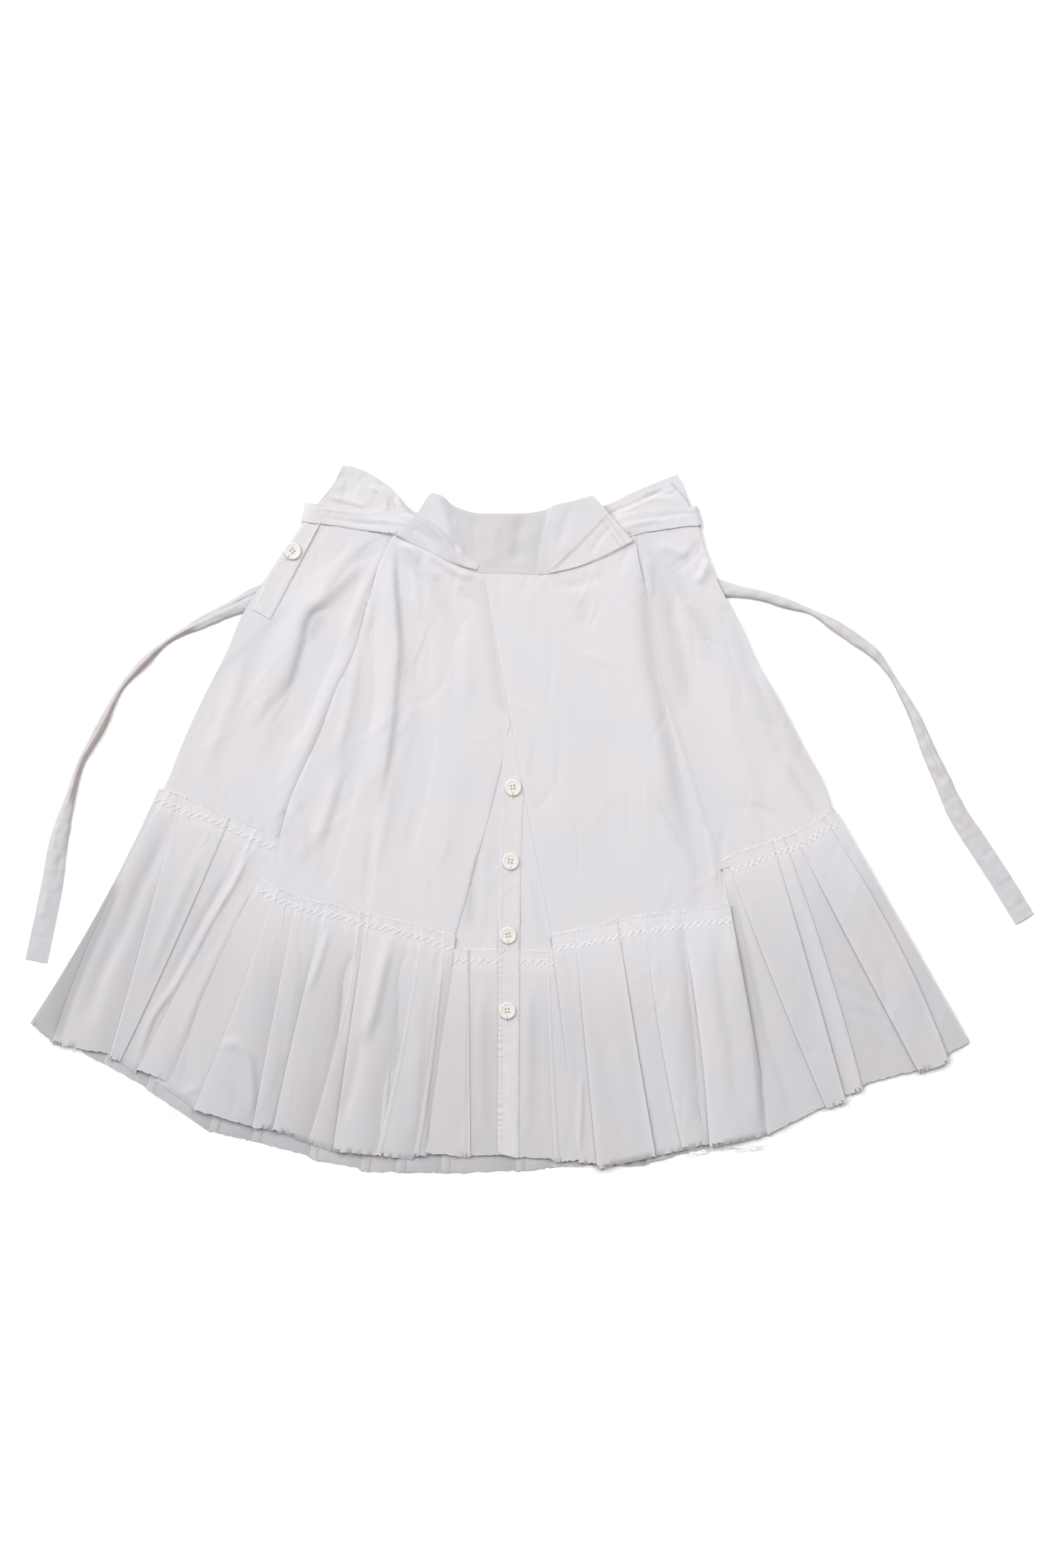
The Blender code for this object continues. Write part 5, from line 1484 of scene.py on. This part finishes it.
CREASES_LEFT = [
    (0.02, 0.1, 30, 2.5, 0.9),
    (0.05, -0.4, 30, 1.8, -0.7),
    (0.07, 0.5, 25, 1.8, 0.7),
    (0.66, 0.25, 60, 1.6, -1.3),
    (0.74, -0.2, 50, 1.8, -1.2),
    (0.80, 0.2, 50, 1.8, -1.0),
    (0.86, -0.3, 45, 2.0, -1.2),
    (0.91, 0.4, 20, 2.0, -0.9),
    (0.94, -0.2, 12, 3.0, 1.2),
    (0.97, 0.3, 25, 3.0, 0.8),
    (0.86, 0.0, 1.6, 9, -0.8),
    (0.90, -0.6, 1.8, 9, 0.8),
    (0.925, 0.4, 1.6, 9, -0.9),
    (0.955, 0.5, 1.8, 10, 0.8),
    (0.985, 0.0, 1.6, 10, -0.7),
]
CREASES_RIGHT = [
    (0.02, -0.1, 30, 2.5, 0.9),
    (0.06, 0.3, 30, 1.8, -0.7),
    (0.56, 0.3, 60, 1.6, -1.3),
    (0.64, -0.3, 50, 1.8, -1.2),
    (0.72, 0.2, 50, 1.8, -1.1),
    (0.80, -0.2, 45, 2.0, -1.2),
    (0.87, 0.4, 20, 2.5, 1.0),
    (0.90, -0.4, 12, 3.0, -0.9),
    (0.94, 0.3, 15, 3.5, 0.9),
    (0.885, 0.2, 1.8, 9, -0.8),
    (0.905, -0.4, 1.6, 8, 0.8),
    (0.93, 0.0, 1.6, 12, -0.9),
    (0.952, 0.5, 1.8, 8, 0.7),
    (0.975, 0.0, 1.5, 11, -0.8),
]
# The last two values: the colour of the painted shade in each roll's hollow, and the side where it falls.
long_left = tie("tie_left", TIE_LEFT, CREASES_LEFT, 31, (0.76, 0.68, 0.64), -0.3) / 1000
long_right = tie("tie_right", TIE_RIGHT, CREASES_RIGHT, 32, (0.70, 0.61, 0.55), 0.12) / 1000
TIE_LONG = {"tie_left": long_left, "tie_right": long_right}
print("the ties are", TIE_LONG, "m long")

# %% [markdown]
# ## Buttons
#
# Shirt buttons are turned from a disc: a flat back, a rounded rim, a shallow dish and four holes. The
# dish, the rim and the holes are all one surface here, a height over radius and angle, so the light
# falls into the holes as it does into real ones. Their wells are also painted a darker brownish shade.

# %% Turned discs with a rim and four holes
RADIUS = 8.9  # mm, as are the next three
BUTTON_HIGH = 2.4
HOLE_FROM_MIDDLE = 2.25
HOLE = 0.95
WELL = 1.0  # depth of a hole
AROUND = 72  # points round a ring
DISH = 0.53  # share of the radius at which the dish begins
# From the middle of the back round the rim to the dish: share of the radius, share of the height.
PROFILE = np.array([
    (0.0, 0.0), (0.60, 0.0), (0.90, 0.06), (0.97, 0.26), (1.0, 0.50), (0.99, 0.72), (0.96, 0.88),
    (0.91, 0.97), (0.85, 1.0), (0.79, 0.985), (0.73, 0.955), (0.67, 0.91), (0.62, 0.87), (0.56, 0.86),
])


def pierced(name, colour, hole_shade_colour):
    """A smooth finish that turns to a second colour where the attribute hole of the mesh is 1."""
    made = plain(name, colour, 0.45)
    tree = made.node_tree
    shader = tree.nodes["Principled BSDF"]
    # The second colour is painted shade inside the wells of the holes.
    inside = tree.nodes.new("ShaderNodeAttribute")
    inside.attribute_name = "hole"
    blend = tree.nodes.new("ShaderNodeValToRGB")
    blend.color_ramp.elements[0].color = (*colour, 1.0)
    blend.color_ramp.elements[1].color = (*hole_shade_colour, 1.0)
    tree.links.new(inside.outputs["Fac"], blend.inputs["Fac"])
    tree.links.new(blend.outputs["Color"], shader.inputs["Base Color"])
    return made


ivory = pierced("ivory_plastic", (0.665, 0.638, 0.612), (0.46, 0.37, 0.28))


def disc_button(name, at, base, turn):
    """A button: rings run up the profile, then inwards over the dish, where four smooth wells sink."""
    inner = np.linspace(DISH, 0.02, 34)
    radius = np.concatenate([PROFILE[1:, 0], inner])
    high = np.concatenate([PROFILE[1:, 1], 0.86 - 0.06 * (DISH - inner)]) * BUTTON_HIGH
    angle = np.arange(AROUND) * 2 * math.pi / AROUND + math.radians(turn)
    x = RADIUS * radius[:, None] * np.cos(angle)[None]
    y = RADIUS * radius[:, None] * np.sin(angle)[None]
    z = np.repeat(high[:, None], AROUND, axis=1)
    upper = np.arange(len(radius))[:, None] > len(PROFILE) - 2
    depth = 0 * z
    for k in range(4):
        way = math.radians(turn + 45 + 90 * k)
        gap = np.hypot(x - HOLE_FROM_MIDDLE * math.cos(way), y - HOLE_FROM_MIDDLE * math.sin(way))
        depth = np.maximum(depth, smoothstep((HOLE + 0.2 - gap) / 0.5) * upper)
    z = z - WELL * depth
    points = np.stack([x + at[0], y + at[1], z + base], axis=-1).reshape(-1, 3)
    ring = np.arange(AROUND)
    following = (ring + 1) % AROUND
    faces = []
    for k in range(len(radius) - 1):
        low, top = k * AROUND, (k + 1) * AROUND
        faces.append(np.stack([low + ring, low + following, top + following, top + ring], axis=-1))
    k = np.arange(AROUND // 2 - 1)
    cap = np.stack([k, k + 1, AROUND - 2 - k, AROUND - 1 - k], axis=-1)
    faces.append(cap[:, ::-1])
    faces.append(cap + (len(radius) - 1) * AROUND)
    made = quads_mesh(name + "_turned", points, np.concatenate(faces), ivory)
    inside = made.data.attributes.new("hole", "FLOAT", "POINT")
    inside.data.foreach_set("value", depth.ravel())
    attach(made, "root")
    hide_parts(name)


BUTTONS = [
    ("button_1", (-16.5, 33.5), 7.7, 10),
    ("button_2", (-19, -43), 7.7, -6),
    ("button_3", (-21.5, -119.5), 8.6, 14),
    ("button_4", (-22.5, -197.5), 7.9, 4),
    ("side_button", (-244.5, 278), ON_FRONT + 1.0, 40),
]
for name, at, base, turn in BUTTONS:
    disc_button(name, at, base, turn)
print(len(BUTTONS), "buttons of", 2 * RADIUS, "mm")

# %% [markdown]
# ## Threads
#
# A thread could be a curve with a round bevel, but there are hundreds of them. So each is a path with
# four points round it, and all threads of one kind are one mesh. A path is drawn in plan and then laid
# on whatever lies below it.

# %% Threads from paths
def threads(name, paths, radius, material=thread_white):
    """Many threads as one mesh: a square of four points round each path, swept along it and capped.

    paths has the shape (threads, points, 3), in mm.
    """
    paths = np.asarray(paths, float)
    count, long = paths.shape[:2]
    run = unit(np.gradient(paths, axis=1))
    side = unit(np.cross(run, (0.0, 0.0, 1.0)) + 1e-6)
    up = np.cross(side, run)
    ring = np.stack([side, up, -side, -up], axis=2) * radius
    points = paths[:, :, None] + ring
    index = np.arange(count * long * 4).reshape(count, long, 4)
    following = np.roll(index, -1, axis=2)
    walls = np.stack([index[:, :-1], following[:, :-1], following[:, 1:], index[:, 1:]], axis=-1)
    caps = np.concatenate([index[:, 0, ::-1], index[:, -1]])
    made = quads_mesh(name, points, np.concatenate([walls.reshape(-1, 4), caps]), material)
    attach(made, "root")
    print(f"{name}: {count} threads of {long} points")


def settle(plan, lift):
    """Paths laid on the cloth: the height below each point plus a lift."""
    return np.concatenate([plan, (top_at(plan) + lift)[..., None]], axis=-1)


# %% [markdown]
# ## Stitches
#
# Each flounce is sewn down by a row of small crosses just below its raw upper edge. They are drawn as
# two bars each, laid over the cloth. Straight rows of short stitches run along the plackets, the yokes
# and the band.

# %% Rows of crosses on the headings
CROSS_PITCH = 7.2  # mm from cross to cross
CROSS_HIGH = 6.4
STITCH_LINES = [
    [(-384.5, 20), (-364, 11.5), (-341.5, 3.5), (-323, -2.5), (-307, -10), (-288.5, -19), (-266, -28)],
    [(-275.5, -74.5), (-264.5, -81.5), (-248.5, -87.5), (-226, -95), (-204.5, -98.5), (-185, -104.5),
     (-158, -110.5), (-130, -117.5), (-101, -125.5), (-82, -133)],
    [(-76, -146.5), (-53.5, -146.5), (-33.5, -146)],
    [(-7, -146.5), (10, -147.5), (26, -147.5)],
    [(26, -134), (51.5, -129.5), (89, -121), (126.5, -114.5), (164, -109), (207.5, -104)],
    [(211, -52), (216.5, -50), (239, -41.5), (276.5, -28), (317, -5.5)],
]
bars = []
for line in STITCH_LINES:
    places = np.linspace(0, 1, int(length_of(line) / CROSS_PITCH) + 1)
    middle = along(line, places)
    middle = middle + chance.normal(scale=0.35, size=middle.shape)
    run = unit(np.gradient(middle, axis=0))
    square = np.stack([-run[:, 1], run[:, 0]], axis=-1)
    lean = CROSS_PITCH * (0.42 + 0.06 * chance.normal(size=(len(middle), 1)))
    for way in (-1, 1):
        t = np.linspace(-1, 1, 6)[None, :, None]
        bars.append(middle[:, None] + t * (way * run * lean + square * CROSS_HIGH / 2)[:, None])
bars = np.concatenate(bars)
arch = 0.25 * (1 - np.linspace(-1, 1, 6) ** 2)
threads("heading_stitches", settle(bars, 0.15 + arch), 0.42)

# %% The rolled raw edge above the crosses
CENTRE_SHOWS = [
    [(-79, -133), (-65, -134.5), (-33.5, -134)],
    [(-8, -134.5), (10, -136), (26.5, -134.5)],
]
CORD_POINTS = 260
cords = []
for line in (HEADING_SIDE_LEFT, HEADING_OVER_LEFT, *CENTRE_SHOWS, HEADING_OVER_RIGHT, HEADING_SIDE_RIGHT):
    for aside in (-0.5, 0.1, 0.7):
        places = along(line, np.linspace(0.004, 0.996, CORD_POINTS))
        wave = np.cumsum(chance.normal(scale=0.16, size=CORD_POINTS))
        wave = wave - np.linspace(wave[0], wave[-1], CORD_POINTS)
        cords.append(places + np.stack([0 * wave, aside + np.clip(wave, -0.8, 0.8)], axis=-1))
threads("raw_heading_edges", settle(np.array(cords), 0.12), 0.22)

# %% Straight rows
ROWS = [
    [(-25, 21.5), (-27.5, -35.5), (-28, -106), (-29, -342.5)],
    [(-11, 21.5), (-13, -42.5), (-14, -110), (-15.5, -344)],
    [(-32.5, -158.5), (-33.5, -245), (-34, -344)],
    [(-201.5, 332), (-218.5, 304), (-230, 282.5), (-244, 255.5), (-254, 235), (-268, 210.5)],
    [(-209.5, 332.5), (-231.5, 304), (-251, 275.5), (-268, 249.5), (-284, 218.5)],
    [(-188.5, 362.5), (-158.5, 350), (-142, 338), (-128.5, 322)],
    [(-196, 359), (-205, 340), (-214, 327.5)],
    [(85, 320.5), (119, 337), (147.5, 349)],
    [(-95.5, 335), (-82, 323.5), (-61, 315.5), (-27.5, 314), (19, 317.5), (27.5, 322), (65, 332.5)],
    [(-135.5, 297.5), (-122, 311.5)],
    [(-131, 292), (-112, 306.5)],
    [(-128.5, 302.5), (-120.5, 296)],
    [(-120.5, 311), (-113, 304)],
    [(-131.5, 291.5), (-98.5, 278), (-67, 264.5), (-47.5, 258.5), (-23.5, 258.5), (17, 257)],
]
STITCH_PITCH = 2.6  # mm from stitch to stitch
dashes = []
for line in ROWS:
    count = int(length_of(line) / STITCH_PITCH)
    starts = (np.arange(count) + 0.5) / count
    t = np.linspace(-0.34, 0.34, 4) / count
    dashes.append(along(line, (starts[:, None] + t[None]).ravel()).reshape(count, 4, 2))
arch = 0.12 * (1 - np.linspace(-1, 1, 4) ** 2)
threads("row_stitches", settle(np.concatenate(dashes), 0.10 + arch), 0.20)

# %% Buttonholes
# Painted shadow: a dark brownish thread along each buttonhole stands for the shade inside its slit.
slit_shade = plain("slit_shade", (0.34, 0.27, 0.21), 0.9)
UNDER_BUTTON = RADIUS - 4  # how far from the button's middle the slit begins
bars = []
slit_shadows = []


def bar(middle, half):
    """A stitch across the slit: its two ends and its middle."""
    bars.append([middle - square * half, middle, middle + square * half])


for name, at, _, _ in BUTTONS:
    at = np.array(at)
    way = math.radians(-90 if name != "side_button" else -125)
    run = np.array([math.cos(way), math.sin(way)])
    square = np.array([-run[1], run[0]])
    slit_shadows.append([at + run * k for k in np.linspace(UNDER_BUTTON, RADIUS + 3.4, 12)])
    for k in np.linspace(UNDER_BUTTON, RADIUS + 3.6, 16):
        bar(at + run * k - square * 0.95, 0.5)
        bar(at + run * k + square * 0.95, 0.5)
    bar(at + run * (RADIUS + 4.4), 1.3)
    bar(at + run * (RADIUS + 5.0), 1.3)
threads("buttonhole_stitches", settle(np.array(bars), 0.12), 0.2)
threads("buttonhole_slits", settle(np.array(slit_shadows), 0.0), 0.28, slit_shade)

# %% [markdown]
# ## Frayed edges
#
# The hems are raw. Single threads have worked loose along them, a few as long loops that lie on the
# table. They are drawn from a seeded chance, so each run gives the same threads.

# %% Short frays along every raw edge
# Each row: the edge, and how many threads stand out of it.
HEMS = [
    ([(-517, -211), (-494.5, -230.5), (-469, -235), (-435.5, -243.5), (-408.5, -261.5), (-376, -272)], 90),
    ([(-379, -275.5), (-368.5, -283), (-350, -299.5), (-323.5, -311), (-293.5, -319), (-267.5, -322)], 70),
    ([(-259, -321.5), (-233.5, -333.5), (-202, -344.5), (-158.5, -348.5), (-122.5, -353),
      (-104.5, -350)], 80),
    ([(-86, -347), (-62, -350), (-35, -347), (-14, -351.5), (26.5, -351.5), (50.5, -354.5)], 60),
    ([(51.5, -355), (70, -356.5), (77.5, -362.5), (91, -359), (130, -349), (155.5, -343),
      (187, -336.5)], 80),
    ([(188, -339.5), (233.5, -332), (251, -327.5), (271, -320.5), (284.5, -307), (305, -296)], 70),
    ([(309.5, -300.5), (330.5, -293.5), (346, -276.5), (367, -268), (402.5, -260), (432.5, -252.5),
      (456.5, -230.5)], 90),
    ([(-471.5, -236.5), (-388, -284), (-368.5, -312.5), (-336.5, -322), (-267.5, -338),
      (-214, -354.5)], 60),
    ([(-210.5, -362), (-128.5, -366.5), (-37, -367), (11.5, -361), (134, -357.5), (160, -347)], 80),
    (HEADING_SIDE_LEFT, 50),
    (HEADING_OVER_LEFT, 90),
    (HEADING_OVER_RIGHT, 90),
    (HEADING_SIDE_RIGHT, 60),
]
paths = []
for line, count in HEMS:
    start = along(line, chance.uniform(0, 1, count))
    turn = chance.uniform(0, 2 * math.pi, count)
    bend = chance.normal(scale=0.9, size=count)
    long = chance.gamma(2.0, 1.3, count) + 0.8
    t = np.linspace(0, 1, 6)[None]
    way = turn[:, None] + bend[:, None] * t
    x = start[:, :1] + long[:, None] * t * np.cos(way)
    y = start[:, 1:] + long[:, None] * t * np.sin(way)
    paths.append(np.stack([x, y], axis=-1))
threads("frays", settle(np.concatenate(paths), 0.15), 0.11)

# %% Long loose threads
LOOSE = [
    [(-371, -291.5), (-373, -297.5), (-371.5, -305), (-366.5, -308.5), (-364, -305)],
    [(-352, 16), (-350.5, 10), (-353, 2.5), (-351.5, -4)],
    [(-336.5, -5), (-332.5, -12.5), (-334, -20), (-338.5, -26)],
    [(-255.5, -75.5), (-251.5, -80), (-254, -93.5), (-254.5, -104), (-257.5, -115)],
    [(-261.5, -77), (-256, -72.5), (-248.5, -75.5), (-242.5, -83.5), (-239.5, -80)],
    [(-200, -89), (-196, -83.5), (-189.5, -87.5), (-185, -94), (-190, -96.5)],
    [(-173.5, -101), (-164.5, -96.5), (-154, -104), (-147.5, -114.5), (-152.5, -117.5)],
    [(-104, -117.5), (-98.5, -113), (-89.5, -119.5), (-82, -129.5), (-89.5, -131.5)],
    [(87.5, -104), (95, -99.5), (105.5, -107), (114.5, -116), (105.5, -117.5)],
    [(203.5, -85), (208, -89), (206, -96.5), (201.5, -93.5)],
    [(-72.5, -141.5), (-67, -149), (-59, -158.5), (-53.5, -161.5)],
    [(-31, -127), (-26.5, -131), (-26, -136), (-30.5, -138.5)],
    [(-83.5, -348.5), (-80.5, -352), (-76, -350.5), (-77.5, -347)],
    [(-11, -352), (-7, -355), (-5, -351.5)],
    [(-511, -218), (-507.5, -223), (-502, -225.5)],
    [(-475, -236), (-472, -241), (-469, -237.5)],
    [(-307, -329), (-303.5, -334), (-299, -332)],
    [(14, -356), (25, -359.5), (36.5, -357.5), (51.5, -360.5)],
    [(25, -354.5), (44, -359), (66.5, -360.5), (96.5, -357.5)],
    [(287.5, -302), (295, -298), (306.5, -302), (314, -296.5)],
    [(314, -296), (325, -297.5), (336.5, -285.5), (344, -279.5)],
    [(339.5, -275), (345.5, -278.5), (351.5, -273.5)],
]
TANGLE = [(167, -345.5), (190, -341), (216.5, -342.5), (245, -339.5)]
LOOPS = 26
t = np.linspace(0, 1, 16)
paths = [along(line, t) for line in LOOSE]
for _ in range(LOOPS):
    middle = along(TANGLE, [chance.uniform(0, 1)])[0]
    radius = chance.uniform(2.0, 7.5)
    squash = chance.uniform(0.25, 0.7)
    phase = chance.uniform(0, 2 * math.pi)
    way = phase + t * chance.uniform(2.5, 6.5)
    x = middle[0] + radius * np.cos(way) * 1.6 + chance.normal(scale=2.0)
    y = middle[1] + radius * squash * np.sin(way)
    paths.append(np.stack([x, y], axis=-1))
paths = settle(np.array(paths), 0.3)
paths[..., 2] += 0.5 * np.sin(np.linspace(0, math.pi, 16)) ** 2
threads("loose_threads", paths, 0.17)

# %% [markdown]
# ## What each piece of cloth was cut to
#
# For every sheet the flat size of what shows is worked out. A panel has its width, its length and its
# area. A pleated flounce lies folded. A tie has the length of its run, and the slanting side placket
# that of its area.

# %% Flat sizes of the sheets
STRIP_WIDTH = 0.0225  # m, of a tie and of a placket
for name, (made, area) in made_pieces.items():
    box = np.array(made.bound_box)
    wide, high = (box.max(axis=0) - box.min(axis=0))[:2]
    if "flounce" in name:
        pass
    elif 0.3 <= area / (wide * high) <= 1.0:
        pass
    else:
        long = TIE_LONG.get(name, area / STRIP_WIDTH)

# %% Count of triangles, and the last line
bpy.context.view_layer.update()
made_here = [item for item in bpy.data.objects if item.type == "MESH" and "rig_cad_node" not in item]
print("about", sum(len(item.data.polygons) * 2 for item in made_here), "triangles")
